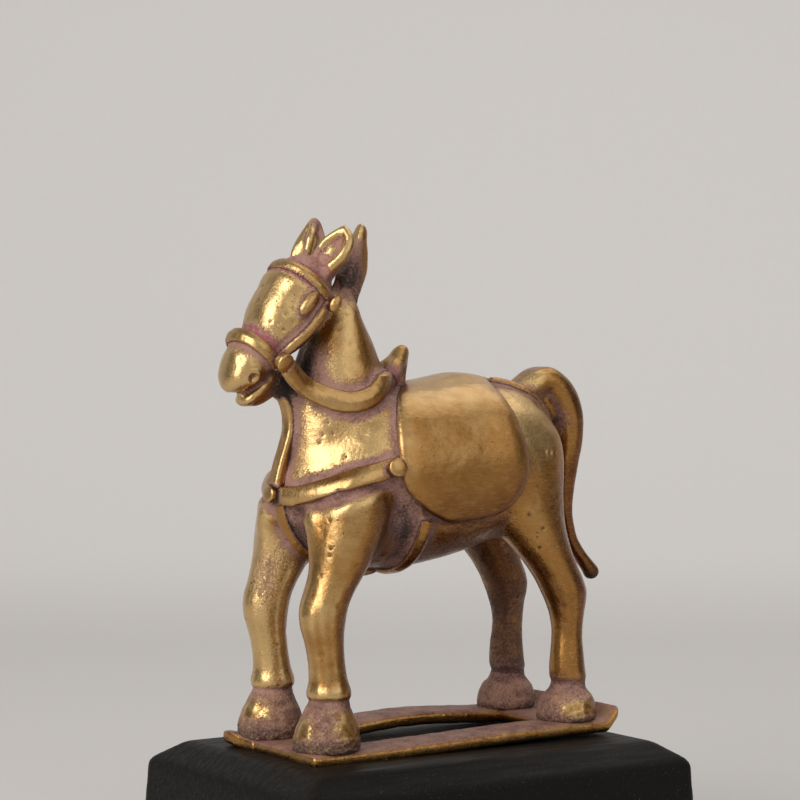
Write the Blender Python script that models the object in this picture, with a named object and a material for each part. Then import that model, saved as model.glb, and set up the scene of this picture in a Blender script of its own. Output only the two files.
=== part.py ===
"""Cast brass horse figurine in folk style, with tack, on a black wooden plinth.

Units are metres and +Z is up. The origin is the centre of the plinth's underside.
The horse faces -X, so its left side is -Y.
"""

import math
from collections import namedtuple

import bmesh
import bpy
from mathutils import Matrix, Vector
from mathutils.bvhtree import BVHTree

MM = 0.001
LEFT = -1
RIGHT = 1
SIDES = {"left": LEFT, "right": RIGHT}

# Fits
SEAT_GAP = 0.3 * MM

# Plinth
PLINTH_HEIGHT = 36 * MM
PLINTH_END_MARGIN = 21.55 * MM
PLINTH_SIDE_MARGIN = 31.7 * MM
PLINTH_DRAFT = math.radians(2.9)
CHAMFER_IN = 8.1 * MM
CHAMFER_DOWN = 5.5 * MM
PLINTH_EDGE_RADIUS = 1.2 * MM

# Base frame
RAIL_THICKNESS = 2.2 * MM
RAIL_WIDTH = 13.5 * MM
RAIL_OUTSET = 1.25 * MM
RAIL_TOE = 0.1 * MM
RAIL_TIP_LENGTH = 3.6 * MM
RAIL_TIP_CURL = 2.6 * MM
RAIL_REAR_LIFT = 1.7 * MM
RAIL_BOW = 2.4 * MM
CROSS_FRONT_LENGTH = 18 * MM
CROSS_REAR_LENGTH = 13 * MM

# Feet
FOOT_SPREAD = 30 * MM
FORE_FOOT_SETBACK = 5.5 * MM
HIND_FOOT_INSET = 0.4 * MM
FORE_HOOF_WIDTH = 18.2 * MM
FORE_HOOF_HEIGHT = 12.2 * MM
HIND_HOOF_WIDTH = 17 * MM
HIND_HOOF_HEIGHT = 10.4 * MM

# Mounting pins
PIN_DIAMETER = 3 * MM
PIN_IN_PLINTH = 12 * MM
PIN_IN_HOOF = 6 * MM

# Body
BARREL_AXIS_HEIGHT = 76 * MM
BODY_FORWARD = 1.65 * MM
BARREL_LENGTH = 87.3 * MM
BARREL_HEIGHT = 50.4 * MM
BARREL_WIDTH = 46 * MM

# Legs
FORE_CANNON_WIDTH = 10 * MM
HIND_CANNON_WIDTH = 9.4 * MM
SHOULDER_SPREAD = 31 * MM
HIP_SPREAD = 25 * MM

# Neck and head
NECK_SETBACK = 18.7 * MM
NECK_HEIGHT = 53 * MM
NECK_DEPTH = 40 * MM
NECK_WIDTH = 29 * MM
HEAD_LENGTH = 45 * MM
HEAD_DEPTH = 19 * MM
HEAD_WIDTH = 20 * MM
HEAD_PITCH = math.radians(48.1)
POLL_FORWARD = 6.2 * MM
POLL_RISE = 5.6 * MM
JAW_LENGTH = 13 * MM
JAW_DEPTH = 5.4 * MM
JAW_WIDTH = 9.6 * MM
NOSTRIL_FROM_MUZZLE = 5.4 * MM
NOSTRIL_DROP = 0.4 * MM
NOSTRIL_LENGTH = 3.4 * MM
NOSTRIL_WIDTH = 1.9 * MM
EYE_SETBACK = 14 * MM
EYE_LENGTH = 8.8 * MM
EYE_HEIGHT = 3.8 * MM
EYE_BULGE = 3.2 * MM
LEFT_EAR_LENGTH = 13.4 * MM
RIGHT_EAR_LENGTH = 15.6 * MM
EAR_WIDTH = 8.2 * MM
EAR_THICKNESS = 10 * MM
EAR_SPREAD = 10 * MM
EAR_SETBACK = 1.1 * MM
CREST_AHEAD = 2.9 * MM
CREST_SINK = 4 * MM
CREST_LENGTH = 23.8 * MM
CREST_DEPTH = 9.4 * MM
CREST_THICKNESS = 6 * MM

# Tail
TAIL_WIDTH = 9.6 * MM
TAIL_DROP = 57 * MM
TAIL_REACH = 28.5 * MM

# Tack
STRAP_THICKNESS = 1.5 * MM
BREAST_STRAP_WIDTH = 4.4 * MM
BREAST_STRAP_RISE = 8.4 * MM
BREAST_STRAP_DROP = 4 * MM
MARTINGALE_WIDTH = 4.4 * MM
MARTINGALE_RISE = 18.6 * MM
MARTINGALE_SETBACK = 6 * MM
REIN_WIDTH = 4.8 * MM
GIRTH_WIDTH = 3.6 * MM
GIRTH_AHEAD = 12 * MM
CRUPPER_WIDTH = 2.6 * MM
CRUPPER_GAP = 3.8 * MM
CRUPPER_SPREAD = 15.2 * MM
CRUPPER_CENTRE = 14 * MM
BROWBAND_WIDTH = 3 * MM
BROWBAND_SETBACK = 8 * MM
NOSEBAND_WIDTH = 3.3 * MM
NOSEBAND_FROM_MUZZLE = 13.2 * MM
CHEEK_STRAP_WIDTH = 2.2 * MM
SADDLE_SETBACK = 45.3 * MM
CLOTH_THICKNESS = 1.6 * MM
SEAT_RISE = 1.6 * MM
SEAT_LENGTH = 8 * MM
SEAT_BEHIND = 11 * MM
STUD_DIAMETER = 5.2 * MM
STUD_HEIGHT = 2.2 * MM
BOSS_DIAMETER = 4.8 * MM
BOSS_HEIGHT = 2.4 * MM
BOSS_RAISE = 0.5 * MM
BUTTON_DIAMETER = 3.6 * MM
BUTTON_HEIGHT = 2 * MM
BUTTON_BEHIND = 1.5 * MM
POMMEL_HEIGHT = 11.5 * MM
POMMEL_DIAMETER = 4.4 * MM
POMMEL_CLEARANCE = 1.8 * MM

# Levels and points that follow from the sizes above
REACH = BARREL_LENGTH
CHEST_X = -BARREL_LENGTH / 2 - BODY_FORWARD
NECK_X = CHEST_X + NECK_SETBACK
SADDLE_X = CHEST_X + SADDLE_SETBACK
FORE_FOOT_X = CHEST_X + FORE_FOOT_SETBACK
HIND_FOOT_X = CHEST_X + BARREL_LENGTH - HIND_FOOT_INSET
RAIL_SPREAD = FOOT_SPREAD + 2 * RAIL_OUTSET
RAIL_FRONT_X = FORE_FOOT_X - FORE_HOOF_WIDTH / 2 - RAIL_TOE
RAIL_HEEL_X = HIND_FOOT_X + HIND_HOOF_WIDTH / 2 + SEAT_GAP
RAIL_REAR_X = RAIL_HEEL_X + RAIL_TIP_LENGTH
PLINTH_LENGTH = BARREL_LENGTH + 2 * PLINTH_END_MARGIN
PLINTH_WIDTH = FOOT_SPREAD + 2 * PLINTH_SIDE_MARGIN
FRAME_BOTTOM = PLINTH_HEIGHT + SEAT_GAP
FRAME_TOP = FRAME_BOTTOM + RAIL_THICKNESS
AXIS_Z = PLINTH_HEIGHT + BARREL_AXIS_HEIGHT
HEAD_ALONG = Vector((-math.cos(HEAD_PITCH), 0, -math.sin(HEAD_PITCH)))
HEAD_UP = Vector((-math.sin(HEAD_PITCH), 0, math.cos(HEAD_PITCH)))
POLL = Vector((NECK_X - POLL_FORWARD, 0, AXIS_Z + NECK_HEIGHT + POLL_RISE))
BROW_AT = BROWBAND_SETBACK
NOSE_AT = HEAD_LENGTH - NOSEBAND_FROM_MUZZLE
AHEAD = Vector((-1, 0, 0))
ACROSS = Vector((0, 1, 0))
UP = Vector((0, 0, 1))

# Tables of form. The shares are of the sizes named in each table's function.
# Torso: along, top and bottom from the axis, half width
TORSO_FORM = (
    (0.000, 0.00, -0.32, 0.17),
    (0.012, 0.14, -0.44, 0.33),
    (0.044, 0.32, -0.64, 0.48),
    (0.095, 0.52, -0.81, 0.65),
    (0.152, 0.71, -0.93, 0.80),
    (0.221, 0.87, -0.99, 0.92),
    (0.290, 0.95, -1.02, 0.98),
    (0.450, 0.98, -1.01, 1.00),
    (0.610, 1.01, -0.92, 0.99),
    (0.748, 1.02, -0.79, 0.96),
    (0.874, 0.95, -0.66, 0.87),
    (0.954, 0.74, -0.48, 0.68),
    (1.000, 0.24, -0.04, 0.18),
)
# Neck: height, shift forward, half depth, half width
NECK_FORM = (
    (0.000, -0.13, 1.00, 1.00),
    (0.226, -0.11, 0.93, 0.97),
    (0.396, -0.04, 0.81, 0.88),
    (0.566, 0.00, 0.68, 0.79),
    (0.717, 0.00, 0.52, 0.68),
    (0.849, 0.02, 0.35, 0.59),
    (0.943, 0.00, 0.26, 0.46),
    (1.000, 0.00, 0.09, 0.17),
)
# Head: along, shift towards the forehead, half depth, half width
HEAD_FORM = (
    (0.000, 0.16, 0.14, 0.14),
    (0.044, 0.16, 0.60, 0.58),
    (0.156, 0.12, 0.87, 0.92),
    (0.311, 0.05, 1.00, 1.00),
    (0.467, 0.01, 0.96, 0.95),
    (0.578, 0.03, 0.83, 0.82),
    (0.689, 0.03, 0.69, 0.70),
    (0.822, 0.04, 0.59, 0.73),
    (0.944, 0.00, 0.36, 0.56),
    (1.000, 0.00, 0.09, 0.16),
)
# Lower jaw: along, drop, half depth, half width
JAW_FORM = (
    (0.00, 0.00, 0.30, 0.35),
    (0.12, 0.00, 0.80, 0.85),
    (0.45, 0.06, 0.95, 1.00),
    (0.80, 0.20, 0.62, 0.92),
    (0.95, 0.22, 0.50, 0.70),
    (1.00, 0.22, 0.22, 0.30),
)
# Legs: height from the hoof's top to the barrel axis, then in cannon widths the shift back, half depth
# and half width, then the share of the way from the foot's spread to the top's
FORELEG_FORM = (
    (0.000, 0.04, 0.52, 0.52, 0.0),
    (0.037, 0.03, 0.60, 0.60, 0.0),
    (0.069, 0.03, 0.58, 0.58, 0.0),
    (0.110, 0.01, 0.52, 0.52, 0.0),
    (0.192, -0.05, 0.49, 0.49, 0.0),
    (0.283, -0.13, 0.53, 0.53, 0.1),
    (0.358, -0.19, 0.61, 0.60, 0.2),
    (0.440, -0.15, 0.67, 0.65, 0.4),
    (0.510, 0.03, 0.70, 0.68, 0.5),
    (0.614, 0.33, 0.82, 0.78, 0.7),
    (0.715, 0.52, 0.94, 0.86, 0.9),
    (0.836, 0.74, 1.02, 0.90, 1.0),
    (0.952, 0.88, 0.94, 0.82, 1.0),
    (1.048, 0.93, 0.50, 0.40, 1.0),
)
HINDLEG_FORM = (
    (0.000, 0.04, 0.55, 0.55, 0.0),
    (0.064, -0.02, 0.54, 0.54, 0.0),
    (0.146, -0.03, 0.50, 0.50, 0.0),
    (0.244, -0.01, 0.46, 0.46, 0.1),
    (0.341, -0.03, 0.55, 0.53, 0.1),
    (0.432, -0.11, 0.73, 0.66, 0.2),
    (0.506, -0.33, 0.78, 0.70, 0.3),
    (0.580, -0.64, 0.85, 0.74, 0.4),
    (0.671, -1.02, 1.02, 0.84, 0.6),
    (0.786, -1.39, 1.23, 0.93, 0.8),
    (0.918, -1.60, 1.47, 0.97, 1.0),
    (1.066, -1.66, 1.58, 0.95, 1.0),
    (1.198, -1.66, 1.38, 0.78, 1.0),
    (1.294, -1.66, 0.74, 0.42, 1.0),
)
# Hoof: height, half width, shift forward in half widths
HOOF_FORM = (
    (0.00, 1.00, 0.06),
    (0.22, 1.00, 0.05),
    (0.48, 0.94, 0.03),
    (0.66, 0.85, 0.01),
    (0.78, 0.69, 0.00),
    (0.88, 0.58, 0.00),
    (1.00, 0.56, 0.00),
)
# Tail: back and down from its root, half depth and half width in tail widths
TAIL_FORM = (
    (0.00, 0.02, 0.36, 0.40),
    (0.18, -0.06, 0.44, 0.48),
    (0.39, -0.07, 0.49, 0.50),
    (0.60, 0.00, 0.47, 0.49),
    (0.72, 0.15, 0.42, 0.46),
    (0.735, 0.30, 0.35, 0.41),
    (0.70, 0.51, 0.27, 0.33),
    (0.71, 0.71, 0.22, 0.27),
    (0.81, 0.87, 0.20, 0.24),
    (1.00, 0.985, 0.22, 0.24),
)
# Ear and crest: height, half width or depth, half thickness, bend back
EAR_FORM = (
    (0.00, 0.60, 0.70, 0.00),
    (0.25, 0.90, 0.98, 0.00),
    (0.50, 1.00, 1.00, 0.00),
    (0.75, 0.80, 0.78, 0.00),
    (0.92, 0.46, 0.44, 0.00),
    (1.00, 0.18, 0.18, 0.00),
)
CREST_FORM = (
    (0.00, 1.00, 1.00, 0.00),
    (0.30, 0.96, 0.88, 0.00),
    (0.55, 0.88, 0.70, 0.00),
    (0.80, 0.70, 0.46, 0.00),
    (0.94, 0.50, 0.36, 0.00),
    (1.00, 0.28, 0.20, 0.00),
)
# Pommel: height, lean back in pommel diameters, half width
POMMEL_FORM = (
    (-0.25, 0.05, 0.52),
    (0.15, 0.00, 0.50),
    (0.50, 0.02, 0.47),
    (0.80, 0.30, 0.45),
    (0.95, 0.55, 0.36),
    (1.00, 0.68, 0.16),
)
# Saddle cloth: angle from the spine, front edge and rear edge behind the saddle's middle
CLOTH_FORM = (
    (0, -4.6 * MM, 22.4 * MM),
    (26, -14.0 * MM, 17.5 * MM),
    (52, -19.6 * MM, 17.6 * MM),
    (78, -21.0 * MM, 19.6 * MM),
    (95, -19.4 * MM, 18.6 * MM),
    (108, -13.5 * MM, 14.4 * MM),
    (118, -4.5 * MM, 6.5 * MM),
)
# Rein behind the bit: back from the neck's middle, up from the barrel axis, angle of the outward look
REIN_PATH = (
    (-17.0 * MM, 26.4 * MM, 0),
    (-12.6 * MM, 23.8 * MM, 0),
    (-6.4 * MM, 21.6 * MM, 0),
    (0.0 * MM, 21.2 * MM, 4),
    (5.0 * MM, 22.6 * MM, 10),
    (9.4 * MM, 25.2 * MM, 24),
    (12.6 * MM, 28.0 * MM, 44),
)

Section = namedtuple("Section", "centre across up half_across half_up")


def material(name, colour, metallic, roughness):
    made = bpy.data.materials.new(name)
    made.use_nodes = True
    shader = made.node_tree.nodes["Principled BSDF"]
    shader.inputs["Base Color"].default_value = (*colour, 1)
    shader.inputs["Metallic"].default_value = metallic
    shader.inputs["Roughness"].default_value = roughness
    made.diffuse_color = (*colour, 1)
    return made


def smooth_rows(rows, steps):
    """The rows of a table, with more between each pair on a Catmull-Rom curve."""
    made = []
    for i in range(len(rows) - 1):
        near = (rows[max(i - 1, 0)], rows[i], rows[i + 1], rows[min(i + 2, len(rows) - 1)])
        for k in range(steps):
            t = k / steps
            made.append([blend(t, *column) for column in zip(*near)])
    made.append(list(rows[-1]))
    return made


def blend(t, a, b, c, d):
    return 0.5 * (2 * b + (c - a) * t + (2 * a - 5 * b + 4 * c - d) * t**2 + (3 * b - a - 3 * c + d) * t**3)


def signed_power(value, power):
    return math.copysign(abs(value) ** power, value)


def oval(section, sides, squareness=2.0, dish=0.0):
    """The points of one ring. A dish hollows the side that up points to."""
    points = []
    for j in range(sides):
        angle = 2 * math.pi * j / sides
        along = signed_power(math.cos(angle), 2 / squareness)
        rise = signed_power(math.sin(angle), 2 / squareness)
        if rise > 0:
            rise *= 1 - dish
        aside = section.across * section.half_across * along
        points.append(section.centre + aside + section.up * section.half_up * rise)
    return points


def bridged(rings):
    """A solid through rings of equal counts, capped at both ends."""
    bm = bmesh.new()
    made = [[bm.verts.new(point) for point in ring] for ring in rings]
    bm.faces.new(reversed(made[0]))
    bm.faces.new(made[-1])
    for ring, after in zip(made, made[1:]):
        for j in range(len(ring)):
            k = (j + 1) % len(ring)
            bm.faces.new((ring[j], ring[k], after[k], after[j]))
    bmesh.ops.recalc_face_normals(bm, faces=bm.faces)
    return bm


def loft(sections, sides, grow=0.0, squareness=2.0, dish=0.0):
    grown = [s._replace(half_across=s.half_across + grow, half_up=s.half_up + grow) for s in sections]
    return bridged([oval(s, sides, squareness, dish) for s in grown])


def add(name, bm, finish, angle=math.radians(40)):
    mesh = bpy.data.meshes.new(name)
    bm.to_mesh(mesh)
    bm.free()
    mesh.shade_smooth()
    mesh.set_sharp_from_angle(angle=angle)
    mesh.materials.append(finish)
    made = bpy.data.objects.new(name, mesh)
    bpy.context.scene.collection.objects.link(made)
    return made


def add_cutter(name, bm):
    mesh = bpy.data.meshes.new(name)
    bm.to_mesh(mesh)
    bm.free()
    made = bpy.data.objects.new(name, mesh)
    made.hide_render = True
    made.display_type = "WIRE"
    bpy.context.scene.collection.objects.link(made)
    return made


def cut(piece, *cutters):
    for cutter in cutters:
        modifier = piece.modifiers.new(cutter.name, "BOOLEAN")
        modifier.operation = "DIFFERENCE"
        modifier.solver = "EXACT"
        modifier.object = cutter


def tree_of(*solids):
    """One surface to lay things on, from several solids."""
    points, faces = [], []
    for bm in solids:
        first = len(points)
        bm.verts.index_update()
        points.extend(v.co.copy() for v in bm.verts)
        faces.extend([first + v.index for v in face.verts] for face in bm.faces)
    return BVHTree.FromPolygons(points, faces)


def height_over(tree, point, out):
    """How far the surface stands out from a point, or None where nothing is met."""
    hit = tree.ray_cast(point + out * REACH, -out, 2 * REACH)[0]
    return None if hit is None else (hit - point).dot(out)


def filled(heights):
    """Missing heights taken from those beside them, as a strap hangs across a gap."""
    known = [i for i, height in enumerate(heights) if height is not None]
    made = []
    for i in range(len(heights)):
        before = max((k for k in known if k <= i), default=known[0])
        after = min((k for k in known if k >= i), default=known[-1])
        share = 0 if after == before else (i - before) / (after - before)
        made.append(heights[before] + (heights[after] - heights[before]) * share)
    return made


def taut(heights, rounds=12):
    """Heights along a strap that is pulled tight, so that it spans hollows."""
    for _ in range(rounds):
        inner = [max(h, (a + b) / 2) for a, h, b in zip(heights, heights[1:], heights[2:])]
        heights = [heights[0], *inner, heights[-1]]
    return heights


def strap(tree, stations, width, thickness, start=None):
    """A crowned band laid on a surface. Each station is a point, the way out and the way across."""
    shares = (-1, 0, 1)
    lines = []
    for share in shares:
        heights = [height_over(tree, p + across * share * width / 2, out) for p, out, across in stations]
        if start is not None:
            heights[0] = start
        lines.append(taut(filled(heights)))
    rings = []
    for i, (point, out, across) in enumerate(stations):
        inner, outer = [], []
        for share, line in zip(shares, lines):
            base = point + across * share * width / 2 + out * (line[i] + SEAT_GAP)
            inner.append(base)
            outer.append(base + out * thickness * (1 - 0.35 * share * share))
        rings.append(inner + outer[::-1])
    return bridged(rings)


def around(centre, start, end, count, first, second, across, slide=None):
    """Stations on a fan of rays about a centre, from one angle to another."""
    made = []
    for i in range(count):
        share = i / (count - 1)
        angle = math.radians(start + (end - start) * share)
        out = first * math.cos(angle) + second * math.sin(angle)
        shift = slide(share) if slide else Vector()
        made.append((centre + shift, out, across))
    return made


def torso_sections():
    made = []
    for along, top, bottom, wide in smooth_rows(TORSO_FORM, 2):
        half = BARREL_HEIGHT / 2
        centre = Vector((CHEST_X + BARREL_LENGTH * along, 0, AXIS_Z + half * (top + bottom) / 2))
        made.append(Section(centre, ACROSS, UP, wide * BARREL_WIDTH / 2, half * (top - bottom) / 2))
    return made


def neck_sections():
    made = []
    for height, shift, deep, wide in smooth_rows(NECK_FORM, 2):
        centre = Vector((NECK_X - shift * NECK_DEPTH / 2, 0, AXIS_Z + NECK_HEIGHT * height))
        made.append(Section(centre, ACROSS, AHEAD, wide * NECK_WIDTH / 2, deep * NECK_DEPTH / 2))
    return made


def head_point(along, rise=0.0, aside=0.0):
    """A point of the head, by its distance from the poll, over the axis and to the right."""
    return POLL + HEAD_ALONG * along + HEAD_UP * rise + ACROSS * aside


def head_sections():
    made = []
    for along, shift, deep, wide in smooth_rows(HEAD_FORM, 2):
        centre = head_point(HEAD_LENGTH * along, shift * HEAD_DEPTH / 2)
        made.append(Section(centre, ACROSS, HEAD_UP, wide * HEAD_WIDTH / 2, deep * HEAD_DEPTH / 2))
    return made


def jaw_sections():
    back = head_point(HEAD_LENGTH * 0.71, -HEAD_DEPTH * 0.37)
    front = head_point(HEAD_LENGTH * 0.97, -HEAD_DEPTH * 0.29)
    way = (front - back).normalized()
    rise = ACROSS.cross(way)
    if rise.z < 0:
        rise = -rise
    made = []
    for along, drop, deep, wide in smooth_rows(JAW_FORM, 2):
        centre = back + way * JAW_LENGTH * along - rise * drop * JAW_DEPTH / 2
        made.append(Section(centre, ACROSS, rise, wide * JAW_WIDTH / 2, deep * JAW_DEPTH / 2))
    return made


def sole_height(x):
    """The top of the base frame, where a hoof stands."""
    share = min(max((x - FORE_FOOT_X) / (HIND_FOOT_X - FORE_FOOT_X), 0), 1)
    return FRAME_TOP + RAIL_REAR_LIFT * share * share * (3 - 2 * share)


def leg_sections(form, side, foot_x, hoof_height, cannon, top_spread):
    low = sole_height(foot_x) + hoof_height + 2 * SEAT_GAP
    made = []
    for height, back, deep, wide, spread in smooth_rows(form, 2):
        y = side * (FOOT_SPREAD + (top_spread - FOOT_SPREAD) * spread) / 2
        centre = Vector((foot_x + back * cannon, y, low + (AXIS_Z - low) * height))
        made.append(Section(centre, ACROSS, AHEAD, wide * cannon, deep * cannon))
    return made


def hoof_sections(side, foot_x, width, height):
    sole = sole_height(foot_x) + SEAT_GAP
    made = []
    for rise, wide, forward in HOOF_FORM:
        centre = Vector((foot_x - forward * width / 2, side * FOOT_SPREAD / 2, sole + height * rise))
        made.append(Section(centre, ACROSS, AHEAD, wide * width / 2, wide * width / 2))
    return made


def tail_sections():
    root = Vector((CHEST_X + BARREL_LENGTH * 0.884, 0, AXIS_Z + BARREL_HEIGHT * 0.40))
    rows = smooth_rows(TAIL_FORM, 2)
    centres = [root + Vector((back * TAIL_REACH, 0, -down * TAIL_DROP)) for back, down, _, _ in rows]
    made = []
    for i, (_, _, deep, wide) in enumerate(rows):
        way = centres[min(i + 1, len(rows) - 1)] - centres[max(i - 1, 0)]
        rise = way.normalized().cross(ACROSS)
        made.append(Section(centres[i], ACROSS, rise, wide * TAIL_WIDTH, deep * TAIL_WIDTH))
    return made


def leaf_sections(form, base, tip, face, width, thickness):
    """A dished leaf that stands on a base and opens towards face."""
    way = tip - base
    face = (face - way * face.dot(way) / way.length_squared).normalized()
    across = way.normalized().cross(face)
    made = []
    for height, wide, thick, bend in smooth_rows(form, 2):
        centre = base + way * height - face * bend * thickness
        made.append(Section(centre, across, face, wide * width / 2, thick * thickness / 2))
    return made


def pommel_sections(foot):
    made = []
    for height, lean, wide in smooth_rows(POMMEL_FORM, 2):
        centre = foot + Vector((lean * POMMEL_DIAMETER, 0, height * POMMEL_HEIGHT))
        half = wide * POMMEL_DIAMETER
        made.append(Section(centre, ACROSS, AHEAD, half, half))
    return made


def rail_lift(side, x):
    """How far a rail stands over the plinth: its rear is higher, and its tip curls up behind the hoof."""
    lift = sole_height(x) - FRAME_TOP
    if side == RIGHT:
        between = (x - FORE_FOOT_X) / (HIND_FOOT_X - FORE_FOOT_X)
        lift += RAIL_BOW * max(math.sin(math.pi * min(max(between, 0), 1)), 0) ** 2
    return lift + RAIL_TIP_CURL * max(x - RAIL_HEEL_X, 0) / RAIL_TIP_LENGTH


def rail_sections(side):
    made = []
    flat = [RAIL_FRONT_X + (RAIL_HEEL_X - RAIL_FRONT_X) * i / 12 for i in range(13)]
    curled = [RAIL_HEEL_X + RAIL_TIP_LENGTH * i / 2 for i in (1, 2)]
    for x in flat + curled:
        level = FRAME_BOTTOM + RAIL_THICKNESS / 2 + rail_lift(side, x)
        centre = Vector((x, side * RAIL_SPREAD / 2, level))
        made.append(Section(centre, ACROSS, UP, RAIL_WIDTH / 2, RAIL_THICKNESS / 2))
    return made


def cross_sections(x, length):
    inner = (RAIL_SPREAD - RAIL_WIDTH) / 2 - SEAT_GAP
    level = FRAME_BOTTOM + RAIL_THICKNESS / 2 + sole_height(x) - FRAME_TOP
    made = []
    for i in range(5):
        y = inner * (i / 2 - 1)
        made.append(Section(Vector((x, y, level)), Vector((1, 0, 0)), UP, length / 2, RAIL_THICKNESS / 2))
    return made


def plinth_solid():
    fall = PLINTH_HEIGHT - CHAMFER_DOWN
    inset = fall * math.tan(PLINTH_DRAFT)
    levels = ((0, 0), (fall, inset), (PLINTH_HEIGHT, inset + CHAMFER_IN))
    rings = []
    for z, inside in levels:
        x = PLINTH_LENGTH / 2 - inside
        y = PLINTH_WIDTH / 2 - inside
        rings.append([Vector((-x, -y, z)), Vector((x, -y, z)), Vector((x, y, z)), Vector((-x, y, z))])
    bm = bridged(rings)
    soft = [e for e in bm.edges if max(v.co.z for v in e.verts) > fall / 2]
    bmesh.ops.bevel(bm, geom=soft, offset=PLINTH_EDGE_RADIUS, segments=2, profile=0.5, affect="EDGES")
    return bm


def button_solid(point, out, diameter, height):
    """A turned button, flat below and domed on top."""
    profile = ((0.5, 0.0), (0.5, 0.55), (0.40, 0.88), (0.18, 1.0))
    turn = out.to_track_quat("Z", "Y")
    rings = []
    for radius, rise in profile:
        ring = []
        for j in range(14):
            angle = 2 * math.pi * j / 14
            aside = Vector((math.cos(angle), math.sin(angle), 0)) * radius * diameter
            ring.append(point + turn @ (aside + UP * rise * height))
        rings.append(ring)
    return bridged(rings)


def egg_solid(centre, axes, size, segments=12):
    """An egg about a centre, with its lengths along three axes."""
    bm = bmesh.new()
    bmesh.ops.create_uvsphere(bm, u_segments=segments, v_segments=segments * 2 // 3, radius=0.5)
    turn = Matrix(axes).transposed().to_4x4()
    place = Matrix.Translation(centre) @ turn @ Matrix.Diagonal((*size, 1))
    bmesh.ops.transform(bm, matrix=place, verts=bm.verts)
    bmesh.ops.recalc_face_normals(bm, faces=bm.faces)
    return bm


def seat_of(tree, point, out, radius):
    """The point that a flat-bottomed button of this radius rests at."""
    turn = out.to_track_quat("Z", "Y")
    heights = [height_over(tree, point, out)]
    for j in range(16):
        angle = 2 * math.pi * j / 16
        for share in (0.5, 1):
            aside = turn @ Vector((math.cos(angle), math.sin(angle), 0)) * radius * share
            heights.append(height_over(tree, point + aside, out))
    return point + out * (max(h for h in heights if h is not None) + SEAT_GAP)


def pin_solid(x, y, bottom, top, diameter):
    bm = bmesh.new()
    half = diameter / 2
    bmesh.ops.create_cone(bm, cap_ends=True, segments=16, radius1=half, radius2=half, depth=top - bottom)
    bmesh.ops.translate(bm, vec=(x, y, (top + bottom) / 2), verts=bm.verts)
    return bm


def cloth_solid(tree):
    """The saddle cloth: a blanket over the back with rounded flaps and a raised seat."""
    rows = smooth_rows(CLOTH_FORM, 2)
    rows = [(-angle, front, rear) for angle, front, rear in rows[:0:-1]] + rows
    columns = 12
    grid = []
    for angle, front, rear in rows:
        out = Vector((0, math.sin(math.radians(angle)), math.cos(math.radians(angle))))
        line = []
        for j in range(columns + 1):
            x = SADDLE_X + front + (rear - front) * j / columns
            line.append((Vector((x, 0, AXIS_Z)), out))
        grid.append(line)
    heights = [[height_over(tree, point, out) for point, out in line] for line in grid]
    heights = [taut(line, 6) for line in heights]
    columns_first = [taut(list(line), 4) for line in zip(*heights)]
    heights = list(zip(*columns_first))
    bm = bmesh.new()
    layers = []
    for layer in (0, 1):
        made = []
        for i, line in enumerate(grid):
            row = []
            for j, (point, out) in enumerate(line):
                behind = (point.x - SADDLE_X - SEAT_BEHIND) / SEAT_LENGTH
                seat = math.exp(-(behind**2)) * max(out.z, 0) ** 4
                edge = min(i, len(grid) - 1 - i, j, columns - j)
                thick = (CLOTH_THICKNESS * (0.6 if edge == 0 else 1) + SEAT_RISE * seat) * layer
                row.append(bm.verts.new(point + out * (heights[i][j] + SEAT_GAP + thick)))
            made.append(row)
        layers.append(made)
    for layer in layers:
        for low, high in zip(layer, layer[1:]):
            for j in range(columns):
                bm.faces.new((low[j], low[j + 1], high[j + 1], high[j]))
    under, over = [
        layer[0] + [row[-1] for row in layer[1:-1]] + layer[-1][::-1] + [row[0] for row in layer[-2:0:-1]]
        for layer in layers
    ]
    for j in range(len(under)):
        k = (j + 1) % len(under)
        bm.faces.new((under[j], under[k], over[k], over[j]))
    bmesh.ops.recalc_face_normals(bm, faces=bm.faces)
    return bm


def rein_stations(side, boss):
    """A rein from the edge of its bit boss, back along the neck."""
    first = Vector((NECK_X + REIN_PATH[0][0] - boss.x, 0, AXIS_Z + REIN_PATH[0][1] - boss.z))
    edge = boss + first.normalized() * (BOSS_DIAMETER / 2 + SEAT_GAP)
    rows = smooth_rows([(edge.x - NECK_X, edge.z - AXIS_Z, 0), *REIN_PATH], 3)
    points = [Vector((NECK_X + x, 0, AXIS_Z + z)) for x, z, _ in rows]
    made = []
    for i, (_, _, look) in enumerate(rows):
        look = math.radians(look)
        out = Vector((0, side * math.cos(look), math.sin(look)))
        way = points[min(i + 1, len(rows) - 1)] - points[max(i - 1, 0)]
        made.append((points[i], out, out.cross(way).normalized()))
    return made


def cheek_stations(side, start, end, angle):
    made = []
    turn = math.radians(angle)
    out = HEAD_UP * math.cos(turn) + ACROSS * side * math.sin(turn)
    across = HEAD_UP * -math.sin(turn) + ACROSS * side * math.cos(turn)
    for i in range(9):
        along = start + (end - start) * i / 8
        made.append((head_point(along), out, across))
    return made


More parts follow.
